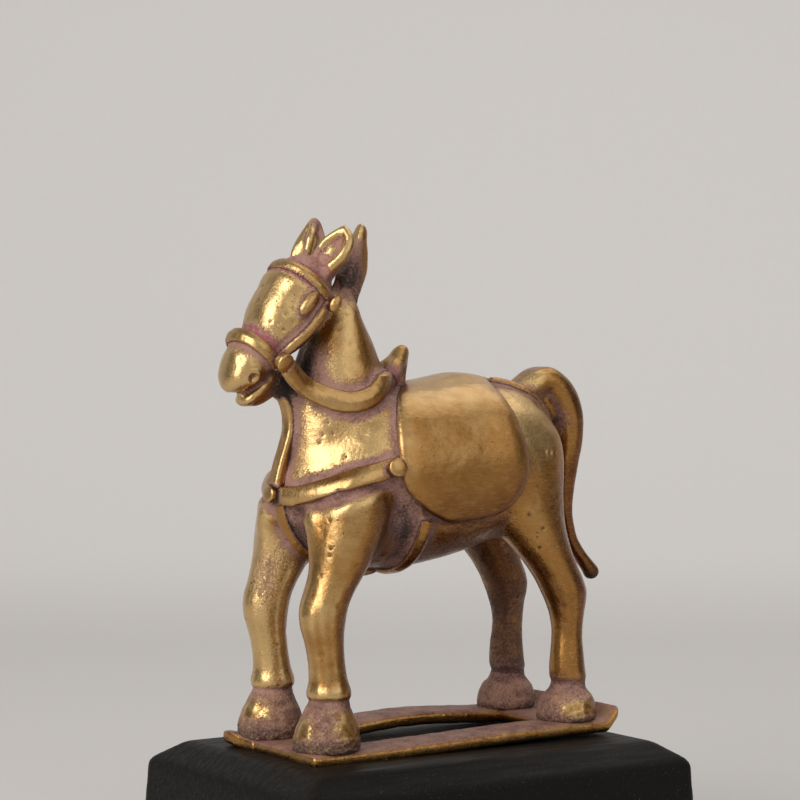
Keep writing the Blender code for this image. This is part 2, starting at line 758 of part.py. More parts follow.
def main():
    for stale in list(bpy.data.objects):
        bpy.data.objects.remove(stale)
    brass = material("cast_brass", (0.60, 0.42, 0.16), 1.0, 0.35)
    tack_brass = material("tack_brass", (0.55, 0.38, 0.18), 1.0, 0.4)
    frame_brass = material("frame_brass", (0.42, 0.30, 0.20), 1.0, 0.5)
    steel = material("pin_steel", (0.55, 0.55, 0.56), 1.0, 0.4)
    paint = material("black_painted_wood", (0.01, 0.01, 0.012), 0.0, 0.4)

    # Plain bodies, and the same a little larger to cut their neighbours' seats
    bodies = {
        "torso": (torso_sections(), 28, 2.2),
        "neck": (neck_sections(), 18, 2.0),
        "head": (head_sections(), 20, 2.2),
        "jaw": (jaw_sections(), 12, 2.4),
        "tail": (tail_sections(), 12, 2.0),
    }
    for name, side in SIDES.items():
        fore = (FORE_FOOT_X, FORE_HOOF_HEIGHT, FORE_CANNON_WIDTH, SHOULDER_SPREAD)
        hind = (HIND_FOOT_X, HIND_HOOF_HEIGHT, HIND_CANNON_WIDTH, HIP_SPREAD)
        bodies["foreleg_" + name] = (leg_sections(FORELEG_FORM, side, *fore), 12, 2.0)
        bodies["hindleg_" + name] = (leg_sections(HINDLEG_FORM, side, *hind), 12, 2.0)
    plain = {name: loft(rings, count, 0, form) for name, (rings, count, form) in bodies.items()}
    seats = {
        name: add_cutter(name + "_seat", loft(rings, count, SEAT_GAP, form))
        for name, (rings, count, form) in bodies.items()
    }
    fine = {name: loft(rings, 72, 0, form) for name, (rings, count, form) in bodies.items()}
    legs = [fine[k] for k in ("foreleg_left", "foreleg_right", "hindleg_left", "hindleg_right")]
    trunk = tree_of(fine["torso"], fine["neck"], *legs)
    skull = tree_of(fine["head"])

    # Bodies
    add("torso", plain["torso"].copy(), brass)
    neck = add("neck", plain["neck"].copy(), brass)
    cut(neck, seats["torso"])
    head = add("head", plain["head"].copy(), brass)
    cut(head, seats["neck"])
    for name, side in SIDES.items():
        at = head_point(HEAD_LENGTH - NOSTRIL_FROM_MUZZLE, -NOSTRIL_DROP)
        at += ACROSS * side * height_over(skull, at, ACROSS * side)
        size = (NOSTRIL_LENGTH, NOSTRIL_WIDTH * 1.2, NOSTRIL_WIDTH)
        cut(head, add_cutter("nostril_" + name, egg_solid(at, (HEAD_ALONG, ACROSS, HEAD_UP), size, 9)))
    jaw = add("lower_jaw", plain["jaw"].copy(), brass)
    cut(jaw, seats["head"], seats["neck"])
    tail = add("tail", plain["tail"].copy(), brass)
    cut(tail, seats["torso"])
    for name, side in SIDES.items():
        leg = add("foreleg_" + name, plain["foreleg_" + name].copy(), brass)
        cut(leg, seats["torso"], seats["neck"])
        leg = add("hindleg_" + name, plain["hindleg_" + name].copy(), brass)
        cut(leg, seats["torso"])

    # Hooves, base frame, pins and plinth
    plinth = add("plinth", plinth_solid(), paint)
    rails = {
        name: add("base_rail_" + name, loft(rail_sections(side), 12, 0, 4.0), frame_brass)
        for name, side in SIDES.items()
    }
    add("base_cross_front", loft(cross_sections(FORE_FOOT_X, CROSS_FRONT_LENGTH), 12, 0, 4.0), frame_brass)
    add("base_cross_rear", loft(cross_sections(HIND_FOOT_X, CROSS_REAR_LENGTH), 12, 0, 4.0), frame_brass)
    for name, side in SIDES.items():
        for place, x, width, height in (
            ("fore", FORE_FOOT_X, FORE_HOOF_WIDTH, FORE_HOOF_HEIGHT),
            ("hind", HIND_FOOT_X, HIND_HOOF_WIDTH, HIND_HOOF_HEIGHT),
        ):
            sole = sole_height(x) + SEAT_GAP
            hoof = add(f"{place}_hoof_{name}", loft(hoof_sections(side, x, width, height), 16), brass)
            if (place, name) in (("fore", "left"), ("hind", "right")):
                y = side * FOOT_SPREAD / 2
                bottom = PLINTH_HEIGHT - PIN_IN_PLINTH
                top = sole + PIN_IN_HOOF
                add(f"mounting_pin_{place}", pin_solid(x, y, bottom, top, PIN_DIAMETER), steel)
                hole = add_cutter(
                    f"pin_hole_{place}",
                    pin_solid(x, y, bottom - SEAT_GAP, top + SEAT_GAP, PIN_DIAMETER + 2 * SEAT_GAP),
                )
                cut(hoof, hole)
                cut(rails[name], hole)
                cut(plinth, hole)

    # Ears, crest and eyes
    for name, side, length in (("left", LEFT, LEFT_EAR_LENGTH), ("right", RIGHT, RIGHT_EAR_LENGTH)):
        base = head_point(EAR_SETBACK, HEAD_DEPTH * 0.04, side * EAR_SPREAD / 2)
        tip = base + Vector((0.485, 0.43 * side, 1)).normalized() * length
        face = Vector((-1, 0.15 * side, 0.35))
        rings = leaf_sections(EAR_FORM, base, tip, face, EAR_WIDTH, EAR_THICKNESS)
        ear = add("ear_" + name, loft(rings, 12, 0, 2.0, 1.5), brass)
        cut(ear, seats["head"], seats["neck"])
        eye_at = head_point(EYE_SETBACK, HEAD_DEPTH * 0.03)
        eye_out = ACROSS * side
        eye_at += eye_out * height_over(skull, eye_at, eye_out)
        eye = egg_solid(eye_at, (HEAD_ALONG, eye_out, HEAD_UP), (EYE_LENGTH, EYE_BULGE, EYE_HEIGHT))
        cut(add("eye_" + name, eye, brass), seats["head"])
    crest_base = Vector((NECK_X - CREST_AHEAD, 0, AXIS_Z + NECK_HEIGHT - CREST_SINK))
    crest_tip = crest_base + Vector((0.436, 0, 1)).normalized() * CREST_LENGTH
    rings = leaf_sections(CREST_FORM, crest_base, crest_tip, AHEAD, CREST_THICKNESS, CREST_DEPTH * 2)
    crest = add("mane_crest", loft(rings, 14, 0, 2.0, 1.12), brass)
    cut(crest, seats["head"], seats["neck"])

    # Saddle cloth and pommel
    cloth = cloth_solid(tree_of(fine["torso"], *legs[2:]))
    dressed = [fine["torso"], fine["neck"], *legs, cloth.copy()]
    cut(add("saddle_cloth", cloth, tack_brass), seats["foreleg_left"], seats["foreleg_right"])
    foot = Vector((SADDLE_X + CLOTH_FORM[0][1] - POMMEL_DIAMETER / 2 - POMMEL_CLEARANCE, 0, AXIS_Z))
    foot.z += height_over(trunk, foot, UP)
    pommel = add("pommel", loft(pommel_sections(foot), 12), tack_brass)
    cut(pommel, seats["torso"], seats["neck"])

    # Bridle
    bands = {}
    for name, along, reach, width in (
        ("browband", BROW_AT, 118, BROWBAND_WIDTH),
        ("noseband", NOSE_AT, 128, NOSEBAND_WIDTH),
    ):
        stations = around(head_point(along), -reach, reach, 21, HEAD_UP, ACROSS, HEAD_ALONG)
        bands[name] = strap(skull, stations, width, STRAP_THICKNESS)
    for name, side in SIDES.items():
        start = BROW_AT + BROWBAND_WIDTH / 2 + SEAT_GAP
        end = NOSE_AT - NOSEBAND_WIDTH / 2 - SEAT_GAP
        stations = cheek_stations(side, start, end, 116)
        bands["cheek_strap_" + name] = strap(skull, stations, CHEEK_STRAP_WIDTH, STRAP_THICKNESS)
    bridled = tree_of(fine["head"], *bands.values())
    for name, solid in bands.items():
        add(name, solid, tack_brass)
    for name, side in SIDES.items():
        turn = math.radians(112)
        out = HEAD_UP * math.cos(turn) + ACROSS * side * math.sin(turn)
        seat = seat_of(bridled, head_point(BROW_AT + BUTTON_BEHIND), out, BUTTON_DIAMETER / 2)
        add("bridle_button_" + name, button_solid(seat, out, BUTTON_DIAMETER, BUTTON_HEIGHT), tack_brass)
        boss = seat_of(bridled, head_point(NOSE_AT - BOSS_RAISE), out, BOSS_DIAMETER / 2)
        add("bit_boss_" + name, button_solid(boss, out, BOSS_DIAMETER, BOSS_HEIGHT), tack_brass)
        rein = strap(trunk, rein_stations(side, boss), REIN_WIDTH, STRAP_THICKNESS, side * boss.y)
        add("rein_" + name, rein, tack_brass)

    # Breast strap, martingale, girth and crupper
    breast = around(
        Vector((NECK_X, 0, AXIS_Z)), -102, 102, 35, AHEAD, ACROSS, UP,
        lambda share: UP * (BREAST_STRAP_RISE * abs(2 * share - 1) - BREAST_STRAP_DROP),
    )
    breast_strap = strap(trunk, breast, BREAST_STRAP_WIDTH, STRAP_THICKNESS)
    dressed.append(breast_strap.copy())
    add("breast_strap", breast_strap, tack_brass)
    strapped = tree_of(*dressed)
    for name, (point, out, _) in (("left", breast[1]), ("centre", breast[17]), ("right", breast[-2])):
        seat = seat_of(strapped, point, out, STUD_DIAMETER / 2)
        add("breast_stud_" + name, button_solid(seat, out, STUD_DIAMETER, STUD_HEIGHT), tack_brass)
    top = AXIS_Z + MARTINGALE_RISE
    low = AXIS_Z - BREAST_STRAP_DROP + BREAST_STRAP_WIDTH / 2 + 2 * SEAT_GAP
    stations = [(Vector((NECK_X, 0, top + (low - top) * i / 8)), AHEAD, ACROSS) for i in range(9)]
    add("martingale_upper", strap(trunk, stations, MARTINGALE_WIDTH, STRAP_THICKNESS), tack_brass)
    middle = Vector((NECK_X + MARTINGALE_SETBACK, 0, AXIS_Z))
    stations = around(middle, 15, 100, 15, AHEAD, -UP, ACROSS)
    add("martingale_lower", strap(trunk, stations, MARTINGALE_WIDTH, STRAP_THICKNESS), tack_brass)
    stations = around(Vector((SADDLE_X - GIRTH_AHEAD, 0, AXIS_Z)), -63, 63, 21, -UP, ACROSS, AHEAD)
    add("girth", strap(trunk, stations, GIRTH_WIDTH, STRAP_THICKNESS), tack_brass)
    middle = Vector((SADDLE_X + CRUPPER_CENTRE, 0, AXIS_Z))
    first = Vector((SADDLE_X + CLOTH_FORM[0][2] + 2 * SEAT_GAP, 0, AXIS_Z))
    start = math.degrees(math.atan2(first.x - middle.x, height_over(trunk, first, UP)))
    for name, side in SIDES.items():
        stations = around(
            middle, start, 72, 15, UP, -AHEAD, ACROSS,
            lambda share: ACROSS
            * side
            * (CRUPPER_GAP + (CRUPPER_SPREAD - CRUPPER_GAP) * min(share / 0.3, 1))
            / 2,
        )
        add("crupper_" + name, strap(trunk, stations, CRUPPER_WIDTH, STRAP_THICKNESS), tack_brass)


main()
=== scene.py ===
"""Looks of the cast brass horse: softened casting, seated tack, rough base frame and painted plinth."""

import math

import bmesh
import bpy
import numpy as np
from mathutils import Matrix, Vector
from mathutils.bvhtree import BVHTree


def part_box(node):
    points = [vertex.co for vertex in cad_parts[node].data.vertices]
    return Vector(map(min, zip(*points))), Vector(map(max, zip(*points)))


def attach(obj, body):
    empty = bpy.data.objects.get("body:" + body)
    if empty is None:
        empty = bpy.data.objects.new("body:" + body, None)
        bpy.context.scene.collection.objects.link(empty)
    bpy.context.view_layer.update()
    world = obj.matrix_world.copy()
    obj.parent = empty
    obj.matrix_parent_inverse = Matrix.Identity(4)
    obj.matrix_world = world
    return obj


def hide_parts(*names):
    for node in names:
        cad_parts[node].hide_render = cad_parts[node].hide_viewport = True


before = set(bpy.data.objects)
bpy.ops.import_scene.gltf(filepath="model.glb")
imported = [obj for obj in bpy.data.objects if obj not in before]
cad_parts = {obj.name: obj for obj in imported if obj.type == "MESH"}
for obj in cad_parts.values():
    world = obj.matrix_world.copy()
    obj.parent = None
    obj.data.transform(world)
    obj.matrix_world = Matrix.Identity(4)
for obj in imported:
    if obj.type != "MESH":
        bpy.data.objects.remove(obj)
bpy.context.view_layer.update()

MM = 0.001
WELD = 1e-6

# Sizes of the softened casting, in millimetres
SEAT_FILL = 0.25
BODY_VOXEL = 0.38
FINE_SOFTENING = 0.75
BROAD_SOFTENING = 2.1
LEG_BLEND = (70, 92)
SHOULDER_SOFTENING = 3.6
SHOULDER_BACK = (-24.5, -19, 101)
SHOULDER_RADII = (6, 8, 9)
HOLLOW_SOFTENING = 1.3
HOLLOW_DEPTH = 0.2
SEAT_FILLET = 0.55
SEAT_REACH = 1.5
SEAT_SEARCH = 7.0

# Rounds of evening out
BLEND_ROUNDS = 30
DOME_ROUNDS = 40
BORDER_ROUNDS = 12
PILLOW_ROUNDS = 5


def pairs(*names):
    """Each name with its left and its right side."""
    return tuple(f"{name}_{side}" for name in names for side in ("left", "right"))


LEG_NODES = pairs("foreleg", "hindleg")
HOOF_NODES = pairs("fore_hoof", "hind_hoof")
HEAD_NODES = ("head", "lower_jaw", "ear_left", "ear_right", "mane_crest")
BODY_NODES = ("torso", "neck", "tail") + HEAD_NODES + LEG_NODES + HOOF_NODES
ROPE_NODES = ("ear_left", "ear_right", "tail")
STUD_NODES = ("breast_stud_centre",) + pairs("breast_stud", "bit_boss", "bridle_button")
STRAP_NODES = ("breast_strap", "martingale_upper", "martingale_lower", "girth", "browband", "noseband")
TACK_NODES = STRAP_NODES + pairs("cheek_strap", "crupper", "rein") + ("pommel", "eye_left", "eye_right")

# Areas of the horse that tools and patina work on
AREAS = {
    "any": BODY_NODES,
    "face": ("head", "lower_jaw"),
    "head": ("head",),
    "neck": ("neck",),
    "nape": ("neck", "mane_crest"),
    "crest": ("mane_crest",),
    "ears": ("ear_left", "ear_right"),
    "far_ear": ("ear_right",),
    "torso": ("torso",),
    "body": ("torso", "neck") + LEG_NODES,
    "leg": LEG_NODES,
    "hoof": HOOF_NODES,
    "limb": LEG_NODES + HOOF_NODES,
    "fore": pairs("foreleg", "fore_hoof"),
    "hind": pairs("hindleg", "hind_hoof"),
    "far_fore": ("foreleg_right",),
    "far_rear": ("hindleg_right", "torso"),
    "near_hind": ("hindleg_left",),
    "tail": ("tail",),
}


def by_start(table, name, otherwise=None):
    """The table's entry whose key the name starts with."""
    return next((entry for start, entry in table.items() if name.startswith(start)), otherwise)


# Mesh helpers. Points are in millimetres once they are read out of a mesh.


def linked(name, data):
    """A new object in the scene."""
    made = bpy.data.objects.new(name, data)
    bpy.context.scene.collection.objects.link(made)
    return made


def welded(name, grow=0.0):
    """A CAD node's shell with its corners merged, grown outwards by so many millimetres."""
    shell = bmesh.new()
    shell.from_mesh(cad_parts[name].data)
    bmesh.ops.remove_doubles(shell, verts=shell.verts, dist=WELD)
    shell.normal_update()
    for vert in shell.verts:
        vert.co += vert.normal * grow * MM
    shell.verts.index_update()
    return shell


def joined(names, grow):
    """One mesh that holds the shells of several nodes."""
    whole = bmesh.new()
    for name in names:
        shell = welded(name, grow)
        part = bpy.data.meshes.new("part")
        shell.to_mesh(part)
        shell.free()
        whole.from_mesh(part)
        bpy.data.meshes.remove(part)
    mesh = bpy.data.meshes.new("joined")
    whole.to_mesh(mesh)
    whole.free()
    return mesh


def frozen(work):
    """The mesh of an object after its modifiers."""
    graph = bpy.context.evaluated_depsgraph_get()
    return bpy.data.meshes.new_from_object(work.evaluated_get(graph))


def modified(mesh, kind, **values):
    """The mesh after one modifier."""
    work = linked("work", mesh)
    modifier = work.modifiers.new(kind, kind)
    for key, value in values.items():
        setattr(modifier, key, value)
    made = frozen(work)
    bpy.data.objects.remove(work)
    return made


def melted(mesh, voxel):
    """The mesh's outer skin as one even net of quads."""
    return modified(mesh, "REMESH", mode="VOXEL", voxel_size=voxel * MM)


def rows_of(items, key, width, kind):
    """One value of each item in a mesh's list, as rows of numbers."""
    flat = np.empty(len(items) * width, kind)
    items.foreach_get(key, flat)
    return flat.reshape(-1, width)


def points_of(mesh):
    return rows_of(mesh.vertices, "co", 3, np.float32).astype(np.float64) / MM


def normals_of(mesh):
    return rows_of(mesh.vertex_normals, "vector", 3, np.float32).astype(np.float64)


def edges_of(mesh):
    return rows_of(mesh.edges, "vertices", 2, np.int32)


def quads_of(mesh):
    return rows_of(mesh.loops, "vertex_index", 1, np.int32).reshape(-1, 4)


def put_points(mesh, points):
    mesh.vertices.foreach_set("co", (points * MM).astype(np.float32).ravel())
    mesh.update()


def softened(mesh, blur, voxel):
    """Points of the mesh after smoothing over a blur radius."""
    rounds = int(round((2 * blur / voxel) ** 2))
    made = modified(mesh, "SMOOTH", factor=1, iterations=max(rounds, 1))
    points = points_of(made)
    bpy.data.meshes.remove(made)
    return points


def spread(values, edges, rounds):
    """A value at each point, evened out over its neighbours."""
    count = len(values)
    shares = np.bincount(edges.ravel(), minlength=count)
    for _ in range(rounds):
        total = np.bincount(edges[:, 0], values[edges[:, 1]], count)
        total += np.bincount(edges[:, 1], values[edges[:, 0]], count)
        values = (values + total / shares) / 2
    return values


def largest_part(mesh):
    """Removes small stray shells and keeps the main one."""
    edges = edges_of(mesh)
    label = np.arange(len(mesh.vertices))
    while True:
        lower = label.copy()
        low = np.minimum(label[edges[:, 0]], label[edges[:, 1]])
        np.minimum.at(lower, edges[:, 0], low)
        np.minimum.at(lower, edges[:, 1], low)
        lower = lower[lower]
        if (lower == label).all():
            break
        label = lower
    main = np.bincount(label).argmax()
    if (label == main).all():
        return
    shell = bmesh.new()
    shell.from_mesh(mesh)
    shell.verts.ensure_lookup_table()
    stray = [shell.verts[i] for i in np.flatnonzero(label != main)]
    bmesh.ops.delete(shell, geom=stray, context="VERTS")
    shell.to_mesh(mesh)
    shell.free()


def tree_of(names, finished=()):
    """A search tree over finished meshes of quads and CAD nodes, and the piece that each face is from."""
    corners, faces, owner = [], [], []
    for name, mesh in dict(finished).items():
        quads = quads_of(mesh)
        faces.extend((quads + len(corners)).tolist())
        corners.extend(points_of(mesh).tolist())
        owner.extend([name] * len(quads))
    for name in names:
        shell = welded(name)
        start = len(corners)
        corners.extend(tuple(vert.co / MM) for vert in shell.verts)
        faces.extend([start + vert.index for vert in face.verts] for face in shell.faces)
        owner.extend([name] * len(shell.faces))
        shell.free()
    return BVHTree.FromPolygons(corners, faces), np.array(owner)


def distances(points, tree, reach):
    """How far each point is from a tree's surface, capped at a reach."""
    found = np.full(len(points), float(reach))
    for i, point in enumerate(points):
        distance = tree.find_nearest(point, reach)[3]
        if distance is not None:
            found[i] = distance
    return found


# Sculpting helpers

RIPPLE_WAVES = 7
RIPPLE_SPREAD = (0.7, 1.3)
RIPPLE_CREST = 3.2


def smoothstep(low, high, values):
    share = np.clip((values - low) / (high - low), 0, 1)
    return share * share * (3 - 2 * share)


def bell(values, width):
    """1 at zero, falling softly to both sides."""
    return np.exp(-((values / width) ** 2))


def blob(points, centre, radii):
    """1 at a centre, falling softly to 0 over three radii."""
    offset = (points - np.array(centre)) / np.array(radii)
    return np.exp(-(offset**2).sum(1))


def mirrored(points):
    """The points with both sides folded onto the left."""
    folded = points.copy()
    folded[:, 1] = -np.abs(folded[:, 1])
    return folded


def path_distance(points, path):
    """How far each point is from a line through the given places."""
    best = np.full(len(points), np.inf)
    for start, end in zip(path[:-1], path[1:]):
        start = np.array(start, float)
        along = np.array(end, float) - start
        share = np.clip((points - start) @ along / (along @ along), 0, 1)
        gap = np.linalg.norm(points - start - share[:, None] * along, axis=1)
        best = np.minimum(best, gap)
    return best


def ripple(points, length, seed):
    """A soft random wave from -1 to 1, with crests about a length apart."""
    chance = np.random.default_rng(seed)
    total = np.zeros(len(points))
    for _ in range(RIPPLE_WAVES):
        way = chance.normal(size=3)
        way *= 2 * math.pi / length / np.linalg.norm(way) * chance.uniform(*RIPPLE_SPREAD)
        total += np.sin(points @ way + chance.uniform(0, 2 * math.pi))
    return np.clip(total / RIPPLE_CREST, -1, 1)


# Ropes of clay: x, y, z and radius along each


def far_side(rope):
    """The same rope on the other side."""
    return tuple((x, -y, z, radius) for x, y, z, radius in rope)


def side_by_side(path, offsets):
    """A rope laid in rows. The second number at each place is its share of the row's offset."""
    return tuple(tuple((x, share * y, z, radius) for x, share, z, radius in path) for y in offsets)


LEFT_EAR_ROPES = (
    (
        (-35.7, -2.6, 170.2, 1.3), (-35.6, -3.1, 174.5, 1.3), (-33.1, -4.1, 178, 1.3),
        (-29.4, -7.1, 180.8, 1.4),
    ),
    (
        (-36, -7.2, 167.8, 1.6), (-35, -8.2, 170.2, 1.7), (-32.7, -9.4, 172.3, 1.8),
        (-30.9, -9.9, 174.6, 1.8), (-29.3, -9.4, 177.4, 1.7), (-29.2, -7.6, 180.1, 1.5),
    ),
    ((-33.4, -2.6, 169.6, 1.8), (-33, -3.2, 173.6, 1.7), (-30.9, -4.3, 177, 1.6), (-28.8, -6.6, 179.4, 1.3)),
    ((-32.9, -4.2, 169.1, 2), (-31.7, -4.9, 172.6, 2), (-29.9, -5.9, 175.5, 1.8), (-28.4, -7.1, 178.4, 1.4)),
    ((-33.8, -6, 168.6, 2), (-32, -7.2, 171.4, 1.9), (-30, -8.1, 174.2, 1.7), (-28.4, -8.2, 177.4, 1.4)),
    ((-34.6, -4.4, 169.4, 1.8), (-33.7, -4.9, 172.6, 1.6), (-32.2, -5.5, 175.4, 1.3)),
)
RIGHT_EAR_ROPES = (
    (
        (-34.2, 7.6, 166.6, 1.6), (-34.4, 11, 170.2, 1.4), (-33.5, 12.6, 174.3, 1.24),
        (-31.2, 13.1, 178.3, 1.24), (-28.7, 10.2, 183.4, 1.3),
    ),
    ((-35.3, 4, 170.6, 1.4), (-34.4, 4.1, 175.3, 1.4), (-33.1, 4.6, 179.1, 1.4), (-29.2, 9, 183.4, 1.3)),
    ((-31.8, 5, 169.8, 1.94), (-30.5, 5.3, 174.8, 1.84), (-29, 6.2, 178.2, 1.73), (-28.4, 9.2, 182.7, 1.3)),
    ((-30.5, 10.7, 170, 2.16), (-29.1, 10.7, 176.8, 1.94), (-27.9, 10, 182.3, 1.3)),
    ((-30.5, 7.8, 170, 2.16), (-29.1, 8.2, 176.4, 1.94), (-27.9, 9.2, 182.1, 1.3)),
    (
        (-32, 7.6, 166.4, 2.2), (-32.4, 11, 169.8, 2.1), (-31.8, 12, 174.2, 2), (-30.4, 11.9, 178.2, 1.8),
        (-28.8, 10.2, 182.4, 1.4),
    ),
)
CREST_ROPE = ((-19.4, 0, 180.8, 1.5), (-18.6, 0, 174, 1.4), (-19.1, 0, 168.4, 1.4), (-22, 0, 162, 1.6))
NAPE_ROPE = ((-25.8, 0, 168, 2), (-25.6, 0, 163, 3.2), (-26, 0, 157, 4.4))
JAW_ROPE = ((-57.2, 0, 135.2, 2.2), (-54, 0, 135.3, 3), (-50, 0, 138, 3.6))
THROAT_ROPE = ((-50, 0, 139, 3.8), (-45.8, 0, 138.6, 3.6), (-39.5, 0, 134.5, 5), (-36.5, 0, 128.5, 6.6))
NECK_WEB_ROPE = ((-18.6, -9.4, 137.6, 2.8), (-14, -5.6, 139.4, 3), (-10.2, -2.6, 140.6, 2.6))
ARM_ROPE = (
    (-41.6, -11.5, 103, 3.6), (-41.7, -13, 100.4, 4), (-40.9, -13.4, 94.8, 4.2), (-40.4, -14, 86, 4.2),
)
ARM_BACK_ROPE = ((-27.5, -17, 107, 4.2), (-27, -17, 101, 4.2), (-27.8, -15.5, 95, 3.8), (-29, -13.5, 90, 3.2))
TAIL_ROWS = (-2.2, 0, 2.2)
TAIL_PATH = (
    (32, 1, 132.4, 3.3), (41.5, 1, 137.6, 4.2), (46.6, 1, 135.2, 4.9), (50.2, 1, 128.6, 5.2),
    (51, 1, 121.4, 4.7), (50.5, 1, 114.2, 3.9), (49.8, 1, 105.4, 3), (50.5, 0.8, 98, 2.4),
    (53.3, 0.5, 90.5, 2.1), (57.5, 0.2, 85.4, 2), (60.7, 0, 81.7, 2.4), (61.3, 0, 80.9, 2.6),
)
TAIL_ROOT_PATH = ((37.5, 1, 131.4, 3), (41.4, 1, 131.8, 3.2), (44.6, 1, 129, 3))
TAIL_ROPES = side_by_side(TAIL_PATH, TAIL_ROWS) + side_by_side(TAIL_ROOT_PATH, TAIL_ROWS)
CLAY_ROPES = LEFT_EAR_ROPES + RIGHT_EAR_ROPES + TAIL_ROPES + (
    CREST_ROPE,
    NAPE_ROPE,
    ARM_BACK_ROPE,
    far_side(ARM_BACK_ROPE),
    JAW_ROPE,
    THROAT_ROPE,
    NECK_WEB_ROPE,
    far_side(NECK_WEB_ROPE),
    ARM_ROPE,
    far_side(ARM_ROPE),
)
THROAT_STRAP_ROWS = (-1.3, 0, 1.3)
THROAT_STRAP_RADIUS = 1.2
THROAT_STRAP_LINE = (
    (-46.6, 137.4), (-45.2, 134.8), (-44, 132.4), (-43.3, 129.4), (-43.3, 125.6), (-44.5, 121.4),
    (-46.2, 116.5), (-47.3, 112.6), (-47.6, 110.6),
)
THROAT_STRAP_PATH = tuple((x, 1, z, THROAT_STRAP_RADIUS) for x, z in THROAT_STRAP_LINE)
THROAT_STRAP_ROPES = side_by_side(THROAT_STRAP_PATH, THROAT_STRAP_ROWS)
POMMEL_SIDE_ROPE = (
    (-15.4, -6, 138.8, 2.8), (-12.2, -4.4, 140.2, 2.8), (-8.6, -1.6, 143.2, 2.5), (-6, 0, 146.4, 2.3),
)
POMMEL_ROPE = ((-8.6, 0, 137, 3.4), (-7.4, 0, 141, 2.7), (-5.8, 0, 146.6, 2.3))
POMMEL_ROPES = (POMMEL_SIDE_ROPE, far_side(POMMEL_SIDE_ROPE), POMMEL_ROPE)
BALL_SPACING = 0.3


def rope_balls(places):
    """Close rows of ball centres and radii along a tapered rope that bends smoothly through its places."""
    rows = np.array(places, float)
    rows = np.vstack([2 * rows[0] - rows[1], rows, 2 * rows[-1] - rows[-2]])
    balls = []
    for before, start, end, after in zip(rows, rows[1:], rows[2:], rows[3:]):
        count = int(np.linalg.norm(end[:3] - start[:3]) / (BALL_SPACING * min(start[3], end[3]))) + 2
        for share in np.linspace(0, 1, count):
            bend = (end - before) * share + (2 * before - 5 * start + 4 * end - after) * share**2
            bend += (3 * start - before - 3 * end + after) * share**3
            balls.append(start + bend / 2)
    return balls


def clay_added(mesh, ropes):
    """A mesh of shells with more built up on it in ropes of clay."""
    ball = bmesh.new()
    bmesh.ops.create_icosphere(ball, subdivisions=2, radius=1)
    corners = np.array([tuple(vert.co) for vert in ball.verts])
    faces = np.array([[vert.index for vert in face.verts] for face in ball.faces])
    ball.free()
    balls = [row for places in ropes for row in rope_balls(places)]
    points = np.concatenate([corners * row[3] + row[:3] for row in balls]) * MM
    rows = np.concatenate([faces + i * len(corners) for i in range(len(balls))])
    clay = bpy.data.meshes.new("clay")
    clay.from_pydata(points, [], rows)
    whole = bmesh.new()
    whole.from_mesh(mesh)
    whole.from_mesh(clay)
    whole.to_mesh(mesh)
    whole.free()
    return mesh


# Cast body

POLL = np.array((-32.8, 0, 170.6))
HEAD_ALONG = np.array((-0.668, 0, -0.744))
BROW_FRONT = 9.5

# Tool lines on the left side: places along each
MOUTH = ((-61, 0, 136.6), (-57.9, -2.6, 136.3), (-55.9, -4.0, 137.7), (-52.4, -4.7, 140.2))
BROW_RIDGE = ((-46.6, -9.4, 159.6), (-45.4, -9.6, 162.6), (-43.0, -9.6, 164.4), (-40.4, -9.8, 164.6))
FLANK_RIDGE = ((-19.6, -22.5, 112.2), (-15.4, -22.3, 106.0), (-13.0, -21.7, 100.6))
ARM_GROOVE = ((-45.4, -4.8, 105.0), (-43.6, -6.0, 100.0), (-40.6, -6.6, 93.0))
NECK_BACK = ((-14.5, 0, 144.0), (-17.5, 0, 151.0), (-20.0, 0, 159.0))
PAD_GROOVE = (
    (-43.7, -6.9, 102.9), (-41.2, -13.3, 104.9), (-39.2, -20.2, 107.4), (-34.3, -22.6, 109.5),
    (-27.0, -21.4, 111.4), (-22.6, -22.1, 110.4), (-19.7, -22.1, 105.9), (-17.7, -20.7, 99.7),
    (-16.7, -16.6, 93.3), (-17.5, -10.9, 88.7),
)

# Work along the lines: area, how far out, line and width
TOOL_WORK = (
    ("face", -0.9, MOUTH, 0.48),
    ("face", 0.3, BROW_RIDGE, 0.9),
    ("body", 0.5, FLANK_RIDGE, 1.1),
    ("body", -0.9, ARM_GROOVE, 1.4),
    ("neck", -1.5, NECK_BACK, 10),
)
# Thumbed places: area, how far out, centre and radii
THUMB_WORK = (
    ("face", -0.75, (-43.2, -9.8, 160.6), (4.4, 4, 3.4)),
    ("face", -1.7, (-57.0, 0, 155.0), (4.4, 7, 4.4)),
    ("body", 0.7, (-31, -20, 102), (8, 7, 8)),
    ("body", -1.4, (-21.4, -21.5, 101.5), (2.8, 5, 6.5)),
    ("nape", -1.2, (-18.5, 0, 159.5), (3.5, 8, 5)),
)
# Rings round the pasterns: area, how far out, height and width
RING_WORK = (
    ("fore", 0.15, 55.2, 1.7),
    ("fore", -0.4, 52.4, 0.75),
    ("fore", 0.9, 49.6, 2.2),
    ("hind", -0.3, 51.6, 0.9),
)
# Random waves on the skin: area, height, length and seed
WAVES = (("any", 0.05, 11, 3), ("any", 0.03, 4, 4), ("hoof", 0.1, 3.2, 5))
# Heights between which a hoof roughens towards its foot, and that wave's height, length and seed
HOOF_FOOT = (46, 41)
HOOF_FOOT_WAVE = (0.14, 1.5, 6)
# Nostril: centre, then height, radius and width of its rim, then depth and radius of its hole
NOSTRIL = (-58.2, -6.4, 140.4)
NOSTRIL_RIM = (0.3, 1.8, 0.7)
NOSTRIL_HOLE = (1.2, 0.8)
BROW_DOME = 0.8
